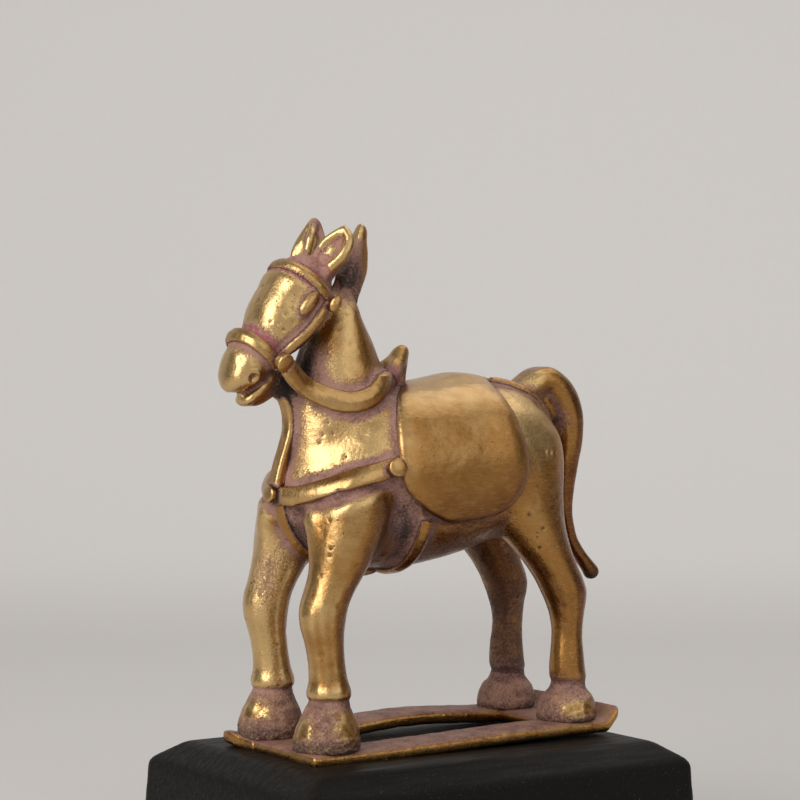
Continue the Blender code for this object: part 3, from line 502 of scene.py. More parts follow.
# Groove round the shoulder pad: width, then its depth and how much more it has in front
PAD_WIDTH = 1.7
PAD_DEPTHS = (0.7, 0.55)
PAD_SWELL = 0.3

# Casting pits seen on the left side, and how wide, deep and dark they are
PITS = (
    (-50.8, 1.0, 165.4), (-53.5, -1.4, 161.3), (-51.1, -8.5, 155.1), (-53.1, -7.1, 155.7),
    (-49.5, -9.0, 157.6), (-49.8, -8.9, 153.5), (-38.8, -9.1, 122.5), (-34.2, -15.1, 118.8),
    (-36.8, -10.1, 128.0), (-35.8, -11.1, 125.0), (-38.1, -9.5, 124.7), (-41.9, -19.2, 101.9),
    (-42.2, -20.3, 94.4), (-42.5, -20.2, 92.5), (31.4, -20.4, 118.0), (23.6, -20.9, 100.8),
    (27.8, -20.0, 90.9), (28.2, -21.4, 96.6),
)
PIT_RADIUS = 0.5
PIT_DEPTH = 0.35
PIT_DARKNESS = 0.8
DENTS = 420
DENT_RADII = (0.5, 1.2)
DENT_DEPTHS = (0.05, 0.17)
DENT_SEED = 12

# Patina beside each strap: how far the mauve reaches, its strength, and how much of it is rose
SEAT_PATINA = {
    "noseband": (2.3, 1.0, 1.0),
    "browband": (1.3, 0.9, 0.9),
    "cheek_strap": (2.8, 0.95, 0.3),
    "bridle_button": (1.6, 0.8, 0.2),
    "bit_boss": (2.0, 0.95, 0.2),
    "rein": (2.8, 0.95, 0.3),
    "breast_strap": (2.6, 1.0, 0.3),
    "breast_stud": (2.0, 0.95, 0.35),
    "martingale": (3.0, 1.0, 0.15),
    "girth": (2.4, 0.95, 0.1),
    "crupper": (1.9, 0.9, 0.15),
    "saddle_cloth": (1.1, 0.8, 0.1),
    "pommel": (2.6, 0.9, 0.1),
    "eye": (1.4, 0.8, 0.25),
}
CLOTH_FRONT = -14
CLOTH_FRONT_REACH = 3.2
NOSE_ROSE_REACH = 3.4
NOSE_TIP_ROSE = 0.2
# Strength and rose behind the browband
BROW_BACK_PATINA = (0.5, 0.3)
ROSE_SHARE = 0.75
# How much the rose is broken up, and the length and seed of that wave
ROSE_BREAKS = (0.55, 2.0, 9)
# Ways that surfaces face: towards SHADE_SIDE they get browner brass as painted shade, towards the worn side
# they get paler brass as a painted highlight, partly wear
SHADE_SIDE = (0.9, -0.3, -0.3)
WORN_AND_HIGHLIT_SIDE = (-0.78, -0.59, 0.2)

# Stained places on both sides, and places with painted shade or light: area, centre, radii, then how much
# mauve, soot and painted shade, brown tarnish and painted shade or light, and pitting they add
STAINS_AND_PAINTED_LIGHT = (
    # Throat and neck beside the cheek strap: mauve patina, with painted shade in the soot and brown columns
    ("any", (-43, -4, 140), (4.2, 6, 5), 0.9, 0.85, 0, 0),
    ("any", (-47, 0, 137.6), (5, 7, 4.4), 0.9, 0.85, 0, 0),
    ("neck", (-39.6, -2.6, 147), (2.4, 3.6, 8), 0.9, 0.85, 0, 0),
    ("neck", (-36.5, -6, 144), (3.6, 5, 8), 0.7, 0, 0, 0),
    ("neck", (-36.6, -3.4, 151.6), (2.6, 4, 5), 0, 0.6, 0, 0),
    ("neck", (-34.5, -6, 151.5), (3.5, 4, 6), 0, 0, 0.5, 0),
    ("nape", (-25.4, 0, 163), (6.5, 10, 6.5), 0.9, 0.3, 0, 0),
    ("head", (-48, -8, 161), (7, 6, 8), 0, 0, 0, 1.4),
    # Valley behind the shoulder: mauve crust, with painted shade in the soot and brown columns
    ("body", (-16.4, -19, 99), (3.4, 6, 9), 0.6, 0.4, 0.4, 0),
    ("body", (-20.6, -19.4, 99), (2.4, 5, 8), 0.6, 0.4, 0, 0),
    ("body", (-34, -18, 118), (9, 9, 8), 0, 0, 0, 0.7),
    ("body", (22, -20, 98), (12, 8, 10), 0, 0, 0, 1),
    # A paler patch on the rump: painted light
    ("body", (25, -19.5, 124), (7, 6, 8), 0, 0, -0.3, 0),
    ("any", (23, -6, 135.5), (5, 5, 4), 0.8, 0, 0, 0),
    ("far_fore", (-44.6, -11.8, 84), (4, 6, 7), 0.4, 0, 0, 0),
)
# The same for places on one side, such as the worn spots on the hooves and a muzzle made paler as painted
# light
SIDE_STAINS_AND_PAINTED_LIGHT = (
    ("tail", (46.5, -3, 126.5), (4, 6, 5), 0.75, 0, 0, 0),
    # A paler muzzle: painted light
    ("head", (-61, -5, 143), (5, 6, 5), 0, 0, -0.25, 0),
    ("hoof", (-48.6, -13.5, 44.8), (4.0, 4.6, 2.0), -1.6, 0, 0, 0),
    ("hoof", (-36.2, -22.4, 45.8), (4.4, 4.0, 3.2), -1.6, 0, 0, 0),
    ("hoof", (-46.0, 15.0, 46.6), (3.0, 5.0, 1.9), -1.6, 0, 0, 0),
    ("hoof", (46.5, -18.5, 44.8), (3.5, 3.5, 2.4), -1.6, 0, 0, 0),
    ("hoof", (39.5, -22.5, 44.2), (4.0, 3.0, 1.8), -1.6, 0, 0, 0),
)
# Stains, painted shade and painted light that grow along x or up z: area, axis, start, end, then the same
# amounts
RAMPS = (
    ("fore", 2, 54.5, 51.5, 0.7, 0, 0, 0),
    ("hind", 2, 57, 50, 0.75, 0, 0, 0),
    ("limb", 2, 53, 50, 0, 0.22, 0, 0),
    ("hoof", 2, 43.5, 41, 0, 0.35, 0, 0),
    # Brass getting browner towards the bottom of the near hind leg, a far foreleg made paler as painted
    # light, and a tail darkened towards its rear and foot as painted shade
    ("near_hind", 2, 95, 75, 0, 0, 0.35, 0),
    ("far_fore", 2, 110, 92, 0.1, 0, -0.3, 0),
    ("tail", 0, 42, 34, 0.4, 0, 0, 0),
    ("tail", 0, 33, 42, 0, 0, 0.45, 0),
    ("tail", 2, 124, 110, 0, 0, 0.6, 0),
    ("tail", 2, 84, 79, 0, 0.75, 0, 0),
)
BETWEEN_LEGS = ((-41, 0, 97), (7, 8, 13))
FAR_EAR_SCOOP = ((-34.2, 7.4, 176.8), (2.6, 2.4, 4.5))
NEAR_ARM_PITTING = ((-38, -18, 96), (6, 8, 12))


def seat_distances(points, tack):
    """How far each point is from the nearest seated piece, which piece that is, and the way to it."""
    tree, owner = tree_of(STUD_NODES, tack)
    gap = np.full(len(points), SEAT_SEARCH)
    kind = np.full(len(points), "", dtype=object)
    way = np.zeros((len(points), 3))
    for i, point in enumerate(points):
        found = tree.find_nearest(point, SEAT_SEARCH)
        if found[3] is not None:
            gap[i] = found[3]
            kind[i] = owner[found[2]]
            way[i] = found[0]
    way -= points
    return gap, kind, way


def dented(points):
    """How deep small knocks go, at random places on the skin."""
    chance = np.random.default_rng(DENT_SEED)
    depth = np.zeros(len(points))
    for spot in points[chance.integers(0, len(points), DENTS)]:
        radius = chance.uniform(*DENT_RADII)
        near = np.abs(points[:, 2] - spot[2]) < 3 * radius
        away = ((points[near] - spot) ** 2).sum(1)
        depth[near] += chance.uniform(*DENT_DEPTHS) * np.exp(-away / radius**2)
    return depth


def pitted(points):
    """1 in the middle of each casting pit, falling to 0 at its rim."""
    away = np.min([((points - np.array(spot)) ** 2).sum(1) for spot in PITS], axis=0)
    return np.exp(-away / PIT_RADIUS**2)


def sculpted(points, edges, on, gap, kind):
    """How far the tools push each point out or in."""
    left = mirrored(points)
    x, _, z = left.T
    lift = -dented(points) - PIT_DEPTH * pitted(points)
    for area, height, length, seed in WAVES:
        lift += on[area] * height * ripple(points, length, seed)
    height, length, seed = HOOF_FOOT_WAVE
    lift += on["hoof"] * smoothstep(*HOOF_FOOT, z) * height * ripple(points, length, seed)
    for area, out, path, width in TOOL_WORK:
        lift += on[area] * out * bell(path_distance(left, path), width)
    for area, out, centre, radii in THUMB_WORK:
        lift += on[area] * out * blob(left, centre, radii)
    for area, out, level, width in RING_WORK:
        lift += on[area] * out * bell(z - level, width)
    nostril = np.linalg.norm(left - np.array(NOSTRIL), axis=1)
    height, radius, width = NOSTRIL_RIM
    lift += on["face"] * height * bell(nostril - radius, width)
    depth, radius = NOSTRIL_HOLE
    lift -= on["face"] * depth * bell(nostril, radius)
    dome = (kind == "browband") * ((points - POLL) @ HEAD_ALONG > BROW_FRONT)
    dome = dome * smoothstep(0.2, 1.4, gap) * smoothstep(6, 2, gap)
    lift += on["face"] * BROW_DOME * spread(dome, edges, DOME_ROUNDS)
    pad = path_distance(left, PAD_GROOVE)
    depth, front_depth = PAD_DEPTHS
    lift -= on["body"] * (depth + front_depth * smoothstep(-24, -30, x)) * bell(pad, PAD_WIDTH)
    inside = smoothstep(6.5, 3.0, pad) * smoothstep(0.8, 2.6, pad) * smoothstep(-25, -30, x)
    lift += on["body"] * PAD_SWELL * inside
    lift += SEAT_FILLET * np.clip(1 - gap / SEAT_REACH, 0, 1) ** 2
    return lift


def body_patina(points, normals, on, gap, kind, way, hollow):
    """How much mauve, rose, soot and painted shade, brown tarnish and painted shade or light, and pitting
    lies at each point.
    """
    left = mirrored(points)
    x, y, z = points.T
    reach, strength, pink = np.ones(len(x)), np.zeros(len(x)), np.zeros(len(x))
    for name, (wide, strong, share) in SEAT_PATINA.items():
        chosen = np.array([place.startswith(name) for place in kind])
        reach[chosen], strength[chosen], pink[chosen] = wide, strong, share
    cloth = kind == "saddle_cloth"
    reach[cloth & (x < CLOTH_FRONT)] = CLOTH_FRONT_REACH
    down_head = way @ HEAD_ALONG > 0
    reach[(kind == "noseband") & down_head] = NOSE_ROSE_REACH
    pink[(kind == "noseband") & ~down_head] = NOSE_TIP_ROSE
    behind_brow = (kind == "browband") & down_head
    strength[behind_brow], pink[behind_brow] = BROW_BACK_PATINA
    shade = normals @ np.array(SHADE_SIDE)
    worn_and_highlit = smoothstep(0.45, 0.95, normals @ np.array(WORN_AND_HIGHLIT_SIDE)) * smoothstep(100, 118, z)

    rose = pink * bell(gap, ROSE_SHARE * reach)
    grime = strength * bell(gap, reach) + 0.75 * np.clip(hollow, 0, 1)
    # Dark lines where the straps and saddle cloth meet the body: painted contact shade, partly soot; then
    # dark casting pits
    soot_and_shade = 0.6 * (strength > 0) * bell(gap, 0.42) + 0.4 * cloth * bell(gap, 0.9)
    soot_and_shade += PIT_DARKNESS * pitted(points)
    # Brown tarnish, with painted shade on sides that face away from the light and on undersides; paler brass
    # where the key light glints is a painted highlight, partly wear; the paler head is painted light and
    # paler brass on bulges is wear
    tarnish_and_painted_light = 0.42 + 0.55 * smoothstep(0.1, 0.75, shade) + 0.45 * np.clip(-normals[:, 2], 0, 1)
    tarnish_and_painted_light -= 0.3 * worn_and_highlit + 0.15 * on["head"] + 0.4 * np.clip(-hollow, 0, 1)
    # Painted shade on the sides of the legs that face away from the light
    tarnish_and_painted_light += 0.3 * on["leg"] * smoothstep(0.2, 0.8, shade) * smoothstep(112, 92, z)
    # A paler upper rump, as painted light
    tarnish_and_painted_light -= 0.2 * on["body"] * smoothstep(5, 25, x) * smoothstep(105, 120, z)
    pitting = 0.8 * on["crest"] + 0.8 * on["body"] * (y < 0) * blob(left, *NEAR_ARM_PITTING)
    values = (grime, soot_and_shade, tarnish_and_painted_light, pitting)
    for area, centre, radii, *amounts in STAINS_AND_PAINTED_LIGHT:
        stain_and_paint_light(values, on[area] * blob(left, centre, radii), amounts)
    for area, centre, radii, *amounts in SIDE_STAINS_AND_PAINTED_LIGHT:
        stain_and_paint_light(values, on[area] * blob(points, centre, radii), amounts)
    for area, axis, start, end, *amounts in RAMPS:
        stain_and_paint_light(values, on[area] * smoothstep(start, end, points[:, axis]), amounts)
    # Mauve patina between the legs, and painted shade darkening the gap there
    between = blob(left, *BETWEEN_LEGS)
    grime += 0.8 * between
    soot_and_shade += 0.8 * between * smoothstep(0.15, 0.6, between)
    grime += 0.35 * on["torso"] * smoothstep(0.35, 0.9, -normals[:, 2])
    pad = path_distance(left, PAD_GROOVE)
    grime += on["body"] * (0.5 + 0.35 * smoothstep(-22, -28, x)) * bell(pad, 2.0)
    # Painted shade in the groove behind the shoulder
    soot_and_shade += 0.35 * on["body"] * (x > -24) * bell(pad, 1.3)
    # The far hind leg: painted shade as darker brown and soot, with mauve crust and pitting
    far_hind_shade = on["far_rear"] * smoothstep(0.5, 4, y) * smoothstep(12, 22, x) * smoothstep(116, 94, z)
    stain_and_paint_light(values, far_hind_shade, (0.3, 0.35, 0.5, 0.8))
    grime += 0.25 * far_hind_shade * smoothstep(88, 70, z)
    scoop = on["ears"] * np.clip(1.4 * hollow, 0, 1)
    far_scoop = on["far_ear"] * blob(points, *FAR_EAR_SCOOP) * smoothstep(-0.5, 0, hollow)
    inner_side = on["far_ear"] * smoothstep(0.2, 0.7, -normals[:, 1]) * smoothstep(-32.4, -31.2, x)
    crest_side = on["crest"] * smoothstep(0.5, 0.1, normals[:, 0]) * smoothstep(181, 176, z)
    poll = on["head"] * smoothstep(8.0, 5.0, (points - POLL) @ HEAD_ALONG) * smoothstep(164, 169, z)
    grime += 0.45 * scoop + 0.9 * far_scoop + 0.8 * inner_side + 0.9 * crest_side + 0.8 * poll
    rose += 0.35 * scoop + 0.3 * inner_side + 0.25 * crest_side + 0.45 * poll
    soot_and_shade += 0.55 * crest_side * smoothstep(179, 170, z)
    breaks, length, seed = ROSE_BREAKS
    rose *= 1 + breaks * ripple(points, length, seed)
    return {"grime": grime, "rose": rose, "soot_and_shade": soot_and_shade, "tarnish_and_painted_light": tarnish_and_painted_light, "pitting": pitting}


def stain_and_paint_light(values, share, amounts):
    """Adds its own amount of a share to each value."""
    for value, amount in zip(values, amounts):
        value += amount * share


def cast_body(tack):
    """The whole horse as one skin, with the node that each point is from and the values for patina and
    painted shade and light.
    """
    fused = tuple(name for name in BODY_NODES if name not in ROPE_NODES)
    mesh = melted(clay_added(joined(fused, SEAT_FILL), CLAY_ROPES), BODY_VOXEL)
    largest_part(mesh)
    edges = edges_of(mesh)
    solids, owner = tree_of(BODY_NODES)
    node = owner[[solids.find_nearest(point)[2] for point in points_of(mesh)]]
    on = {area: np.isin(node, names) for area, names in AREAS.items()}
    fine = softened(mesh, FINE_SOFTENING, BODY_VOXEL)
    broad = softened(mesh, BROAD_SOFTENING, BODY_VOXEL)
    wide = on["body"] * np.where(on["leg"], smoothstep(*LEG_BLEND, fine[:, 2]), 1.0)
    points = fine + (broad - fine) * spread(wide, edges, BLEND_ROUNDS)[:, None]
    merged = softened(mesh, SHOULDER_SOFTENING, BODY_VOXEL)
    points += (merged - points) * blob(mirrored(points), SHOULDER_BACK, SHOULDER_RADII)[:, None]
    put_points(mesh, points)
    gap, kind, way = seat_distances(points, tack)
    points = points + normals_of(mesh) * sculpted(points, edges, on, gap, kind)[:, None]
    put_points(mesh, points)
    normals = normals_of(mesh)
    hollow = ((softened(mesh, HOLLOW_SOFTENING, BODY_VOXEL) - points) * normals).sum(1)
    hollow = np.clip(hollow / HOLLOW_DEPTH, -1, 1)
    return mesh, node, body_patina(points, normals, on, gap, kind, way, hollow)


def put_values(mesh, values):
    """Stores named values at a mesh's points, for its material."""
    for name, amounts in values.items():
        layer = mesh.attributes.new(name, "FLOAT", "POINT")
        layer.data.foreach_set("value", np.clip(amounts, 0, 1).astype(np.float32))


def place(name, mesh, finish, slot, *nodes):
    """A finished piece that stands for its nodes."""
    mesh.materials.clear()
    mesh.materials.append(finish)
    mesh.shade_smooth()
    piece = linked(name, mesh)
    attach(piece, "root")
    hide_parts(*nodes)


def border_loops(faces):
    """The loops of points along the open borders of some faces."""
    starts = faces.ravel()
    ends = np.roll(faces, -1, axis=1).ravel()
    found = set(zip(starts.tolist(), ends.tolist()))
    following = {}
    for start, end in found:
        if (end, start) not in found:
            following.setdefault(end, []).append(start)
    loops = []
    while following:
        first = next(iter(following))
        loop = [first]
        while True:
            onward = following[loop[-1]].pop()
            if not following[loop[-1]]:
                del following[loop[-1]]
            if onward == first:
                break
            loop.append(onward)
        loops.append(loop)
    return loops


def split_body(mesh, node, values, finish):
    """Parts the skin into one closed piece for each node, with the values and shading of the whole."""
    points = points_of(mesh)
    normals = normals_of(mesh)
    faces = quads_of(mesh)
    edges = edges_of(mesh)
    names = np.array(BODY_NODES)
    shares = np.stack([spread((node == name).astype(float), edges, BORDER_ROUNDS) for name in names], axis=1)
    face_name = names[shares[faces].sum(1).argmax(1)]
    for name in names:
        own = faces[face_name == name]
        loops = border_loops(own)
        used = np.unique(own)
        place_of = np.full(len(points), -1)
        place_of[used] = np.arange(len(used))
        centres = np.array([points[loop].mean(0) for loop in loops]).reshape(-1, 3)
        rows = place_of[own].tolist()
        for i, loop in enumerate(loops):
            around = place_of[loop].tolist()
            rows.extend((a, b, len(used) + i) for a, b in zip(around, around[1:] + around[:1]))
        part = bpy.data.meshes.new(name)
        part.from_pydata(np.concatenate([points[used], centres]) * MM, [], rows)
        fill = np.zeros(len(centres))
        put_values(part, {key: np.concatenate([amounts[used], fill]) for key, amounts in values.items()})
        place("cast_" + name, part, finish, "cast_brass", name)
        facing = np.concatenate([normals[used], np.tile((0.0, 0.0, 1.0), (len(centres), 1))])
        part.normals_split_custom_set_from_vertices(facing)


# Tack

WANDER_LENGTH = 7
FINE_WANDER = 0.4
FINE_WANDER_LENGTH = 2.4

# How far the breast strap hangs below its solid, by the distance from the middle
SAG_PLACES = (0, 3, 7, 12, 15, 20, 23)
SAG_DEPTHS = (0.5, 1.0, 1.9, 1.7, 1.3, 0.7, 0.3)
REIN_TOP = 140.5
REIN_END = (-26, -20)
REIN_DROP = 0.75
CLOTH_SPINE = (132, 141)
CLOTH_SPINE_DROP = 1.0

# Patina of a seated piece, with painted contact shade at its foot and round the studs
FOOT_GRIME = 0.9
FOOT_SOOT_AND_SHADE_HEIGHT = 0.45
STUD_SEARCH = 3.0
STUD_GRIME_WIDTH = 1.3
STUD_RING_SOOT_AND_SHADE = 0.75
STUD_RING_SOOT_AND_SHADE_WIDTH = 0.6


def cast_piece(name, voxel, blur, grow, wave, ropes=()):
    """A node's solid, with any ropes of clay, melted and smoothed to a cast edge."""
    shells = joined((name,), grow)
    mesh = melted(clay_added(shells, ropes) if ropes else shells, voxel)
    put_points(mesh, softened(mesh, blur, voxel))
    points = points_of(mesh)
    wander = ripple(points, WANDER_LENGTH, len(name))
    wander = wave * (wander + FINE_WANDER * ripple(points, FINE_WANDER_LENGTH, len(name) + 1))
    put_points(mesh, points + normals_of(mesh) * wander[:, None])
    return mesh


def lowered(mesh, drop):
    """Lowers each point by its drop, which is found from the points."""
    points = points_of(mesh)
    points[:, 2] -= drop(points)
    put_points(mesh, points)


def strap_sag(points):
    return np.interp(np.abs(points[:, 1]), SAG_PLACES, SAG_DEPTHS)


def rein_drop(points):
    """Lays the rear end of a rein down beside the pommel."""
    high = np.clip(points[:, 2] - REIN_TOP, 0, None) * smoothstep(*REIN_END, points[:, 0])
    return REIN_DROP * high


def spine_drop(points):
    """Flattens the saddle cloth along the spine."""
    return CLOTH_SPINE_DROP * smoothstep(*CLOTH_SPINE, points[:, 2])


def sunk(mesh, skin, depth):
    """Presses a seated piece into the body by a depth."""
    points = points_of(mesh)
    outward = np.array([tuple(skin.find_nearest(point)[1]) for point in points])
    put_points(mesh, points - depth * outward)


def seat_values(mesh, skin, studs, top, soot_and_shade_amount, rose, brown):
    """Patina for a seated piece: heavy at its foot and round the studs, rubbed off on top, with painted shade
    at its foot and on its side away from the light, and painted highlights.
    """
    points = points_of(mesh)
    normals = normals_of(mesh)
    height = distances(points, skin, top + 1)
    grime = FOOT_GRIME * (1 - smoothstep(0.0, top, height))
    # A dark foot: painted contact shade, partly soot
    soot_and_shade = soot_and_shade_amount * (1 - smoothstep(0.0, FOOT_SOOT_AND_SHADE_HEIGHT, height))
    if studs is not None:
        round_stud = distances(points, studs, STUD_SEARCH)
        grime = np.maximum(grime, bell(round_stud, STUD_GRIME_WIDTH))
        soot_and_shade = np.maximum(soot_and_shade, STUD_RING_SOOT_AND_SHADE * bell(round_stud, STUD_RING_SOOT_AND_SHADE_WIDTH))
    # Brown tarnish, with painted shade on sides facing away from the light and paler brass as a painted
    # highlight, partly wear
    tarnish_and_painted_light = brown + 0.1 * grime + 0.5 * smoothstep(0.2, 0.8, normals @ np.array(SHADE_SIDE))
    tarnish_and_painted_light -= 0.2 * smoothstep(0.45, 0.95, normals @ np.array(WORN_AND_HIGHLIT_SIDE))
    return {"grime": grime, "rose": rose * grime, "soot_and_shade": soot_and_shade, "tarnish_and_painted_light": tarnish_and_painted_light, "pitting": 0 * grime}


# Nodes


class Wiring:
    """Adds nodes to a tree and joins them up. Inputs are values or other nodes' outputs."""

    def __init__(self, tree):
        self.tree = tree

    def add(self, kind, inputs=(), **settings):
        node = self.tree.nodes.new(kind)
        for key, value in settings.items():
            setattr(node, key, value)
        self.feed(node, inputs)
        return node

    def feed(self, node, inputs):
        for key, value in dict(inputs).items():
            if isinstance(value, bpy.types.NodeSocket):
                self.tree.links.new(value, node.inputs[key])
            else:
                node.inputs[key].default_value = value

    def maths(self, operation, first, second):
        return self.add("ShaderNodeMath", {0: first, 1: second}, operation=operation).outputs[0]

    def times(self, first, second):
        return self.maths("MULTIPLY", first, second)

    def plus(self, first, second):
        return self.maths("ADD", first, second)

    def minus(self, first, second):
        return self.maths("SUBTRACT", first, second)

    def larger(self, first, second):
        return self.maths("MAXIMUM", first, second)

    def mix(self, share, first, second):
        return self.add("ShaderNodeMix", {0: share, 6: first, 7: second}, data_type="RGBA").outputs[2]

    def step(self, value, low, high, start=0.0, end=1.0):
        """A value eased from start to end as it goes from low to high."""
        ends = {"Value": value, "From Min": low, "From Max": high, "To Min": start, "To Max": end}
        return self.add("ShaderNodeMapRange", ends, interpolation_type="SMOOTHSTEP").outputs[0]

    def noise(self, where, scale, detail, rough=0.55):
        values = {"Vector": where, "Scale": scale, "Detail": detail, "Roughness": rough}
        return self.add("ShaderNodeTexNoise", values).outputs[0]

    def scaled(self, vector, scale):
        return self.add("ShaderNodeVectorMath", {0: vector, "Scale": scale}, operation="SCALE").outputs[0]

    def bump(self, height, strength, distance):
        values = {"Strength": strength, "Distance": distance, "Height": height}
        return self.add("ShaderNodeBump", values).outputs[0]

    def stored(self, name):
        """A value kept on the piece."""
        return self.add("ShaderNodeAttribute", attribute_name=name).outputs["Fac"]

    def kept_vector(self, name):
        """A direction or size kept on a point."""
        node = self.add("GeometryNodeInputNamedAttribute", {"Name": name}, data_type="FLOAT_VECTOR")
        return node.outputs[0]


def sockets_in(tree, starts):
    """Named inputs of a tree, each with a number to start from, or None for a vector."""
    for label, start in starts.items():
        kind = {type(None): "Vector", int: "Int", float: "Float"}[type(start)]
        socket = tree.interface.new_socket(label, in_out="INPUT", socket_type="NodeSocket" + kind)
        if start is not None:
            socket.default_value = start


# Domed studs: radius, length against width, and height, in millimetres
STUD_SIZES = {
    "breast_stud_centre": (2.3, 1.0, 1.5),
    "breast_stud": (2.65, 1.0, 2.0),
    "bit_boss": (2.75, 1.0, 2.3),
    "bridle_button": (1.6, 1.5, 2.6),
}
STUD_LENGTHWAYS = (-0.45, 0, -0.9)
BUTTON_FACING = (-0.3, 0.95)
STUD_WORK = {"Rim Points": 36, "Dome": 0.28, "Hand Work": 0.00012, "Seed": 4.0}
STUD_DENT_SCALE = 420.0


def stud_tree():
    """Places one domed stud on each given point, turned to the point's direction."""
    tree = bpy.data.node_groups.new("domed studs", "GeometryNodeTree")
    tree.interface.new_socket("Geometry", in_out="INPUT", socket_type="NodeSocketGeometry")
    sockets_in(tree, STUD_WORK)
    tree.interface.new_socket("Finish", in_out="INPUT", socket_type="NodeSocketMaterial")
    tree.interface.new_socket("Geometry", in_out="OUTPUT", socket_type="NodeSocketGeometry")
    wire = Wiring(tree)
    given = wire.add("NodeGroupInput").outputs
    net = {"Vertices": given["Rim Points"], "Side Segments": 3, "Fill Segments": 4}
    drum = wire.add("GeometryNodeMeshCylinder", {**net, "Radius": 1.0, "Depth": 1.0}).outputs["Mesh"]
    spot = wire.add("ShaderNodeSeparateXYZ", {0: wire.add("GeometryNodeInputPosition").outputs[0]}).outputs
    from_middle = wire.plus(wire.maths("POWER", spot[0], 2.0), wire.maths("POWER", spot[1], 2.0))
    crown = wire.times(wire.minus(1.0, from_middle), given["Dome"])
    raised = wire.times(crown, wire.maths("GREATER_THAN", spot[2], 0.4))
    lift = wire.add("ShaderNodeCombineXYZ", {2: raised}).outputs[0]
    stud = wire.add("GeometryNodeSetPosition", {"Geometry": drum, "Offset": lift}).outputs[0]
    stud = wire.add("GeometryNodeSubdivisionSurface", {"Mesh": stud, "Level": 2}).outputs[0]
    facing = {"Vector": wire.kept_vector("facing")}
    upright = wire.add("FunctionNodeAlignRotationToVector", facing, axis="Z").outputs[0]
    lengthways = {"Rotation": upright, "Vector": wire.kept_vector("long_way")}
    turned = wire.add("FunctionNodeAlignRotationToVector", lengthways, axis="X", pivot_axis="Z").outputs[0]
    seat = {"Points": given["Geometry"], "Rotation": turned, "Scale": wire.kept_vector("size")}
    set_out = wire.add("GeometryNodeInstanceOnPoints", {**seat, "Instance": stud}).outputs[0]
    whole = wire.add("GeometryNodeRealizeInstances", {"Geometry": set_out}).outputs[0]
    knocks = {"W": given["Seed"], "Scale": STUD_DENT_SCALE, "Detail": 2.0}
    noise = wire.add("ShaderNodeTexNoise", knocks, noise_dimensions="4D").outputs[0]
    push = wire.times(wire.times(wire.minus(noise, 0.5), given["Hand Work"]), 2.0)
    dents = wire.scaled(wire.add("GeometryNodeInputNormal").outputs[0], push)
    whole = wire.add("GeometryNodeSetPosition", {"Geometry": whole, "Offset": dents}).outputs[0]
    whole = wire.add("GeometryNodeSetMaterial", {"Geometry": whole, "Material": given["Finish"]}).outputs[0]
    wire.feed(wire.add("NodeGroupOutput"), {0: whole})
    return tree


def domed_studs(skin, finish):
    """All the studs, bosses and buttons of the tack as one mesh."""
    places, facings, sizes = [], [], []
    for name in STUD_NODES:
        shell = welded(name)
        middle = sum((vert.co for vert in shell.verts), Vector()) / len(shell.verts) / MM
        shell.free()
        facing = skin.find_nearest(middle)[1]
        if name.startswith("bridle_button"):
            facing = Vector((BUTTON_FACING[0], math.copysign(BUTTON_FACING[1], middle.y), 0))
        radius, long, height = by_start(STUD_SIZES, name)
        places.append(middle * MM)
        facings.append(facing)
        sizes.append(Vector((radius * long, radius, height)) * MM)
    mesh = bpy.data.meshes.new("stud places")
    mesh.from_pydata(places, [], [])
    long_ways = [STUD_LENGTHWAYS] * len(places)
    for label, rows in (("facing", facings), ("size", sizes), ("long_way", long_ways)):
        layer = mesh.attributes.new(label, "FLOAT_VECTOR", "POINT")
        layer.data.foreach_set("vector", np.array([tuple(row) for row in rows], np.float32).ravel())
    work = linked("stud places", mesh)
    modifier = work.modifiers.new("studs", "NODES")
    modifier.node_group = stud_tree()
    items = modifier.node_group.interface.items_tree
    sockets = {item.name: item.identifier for item in items if item.in_out == "INPUT"}
    for label, value in {**STUD_WORK, "Finish": finish}.items():
        modifier[sockets[label]] = value
    made = frozen(work)
    work.modifiers.clear()
    bpy.data.objects.remove(work)
    return made


# Materials

# Scales of the noises, and heights of the casting in millimetres
MOTTLE_SCALE = 170
BREAKUP_SCALE = 1500
DENT_SCALE = 620
DENT_HEIGHT = 0.095
DIMPLE_SCALE = 1500
DIMPLE_HEIGHT = 0.05
STROKE_TURNS = ((0.3, 1.1, 0.2), (1.2, -0.9, 0.9), (0.1, 0.4, -0.7))
STROKE_SCALE = (330, 2300, 2300)
STROKE_HEIGHT = 0.008
SMALL_PIT_SHARE = 0.8
PIT_HEIGHT = 0.16
CRUST_HEIGHT = 0.3
COAT = 0.3
COAT_ROUGHNESS = 0.2
BRUSH_SCALE = (60, 700, 700)
BRUSH_DEPTH = 0.0002
DUST_SCALE = 2400
TURNING_SCALE = 1500
FIBRE_SCALE = 300

# Bright brass also serves as painted highlight and brown brass as painted shade; deep mauve is patina
# darkened partly as painted shade; the soot black is mostly painted shade
BRIGHT_BRASS_AND_HIGHLIGHT = (0.68, 0.455, 0.195, 1)
SATIN_BRASS = (0.4, 0.19, 0.045, 1)
BROWN_BRASS_AND_SHADE = (0.165, 0.054, 0.01, 1)
MAUVE = (0.47, 0.255, 0.2, 1)
DEEP_MAUVE_AND_SHADE = (0.15, 0.068, 0.053, 1)
ROSE = (0.42, 0.085, 0.12, 1)
SOOT_AND_SHADE_BLACK = (0.016, 0.009, 0.008, 1)
PIT_BLACK = (0.03, 0.017, 0.012, 1)
PAINT_BLACK = (0.006, 0.0055, 0.005, 1)
DUST = (0.1, 0.095, 0.09, 1)
STEEL = (0.5, 0.5, 0.5, 1)
DARK_STEEL = (0.3, 0.3, 0.31, 1)
PAPER = (0.585, 0.565, 0.55, 1)
PAPER_FIBRE = (0.61, 0.59, 0.575, 1)
PAPER_GLOW_COLOUR = (1, 0.98, 0.965, 1)
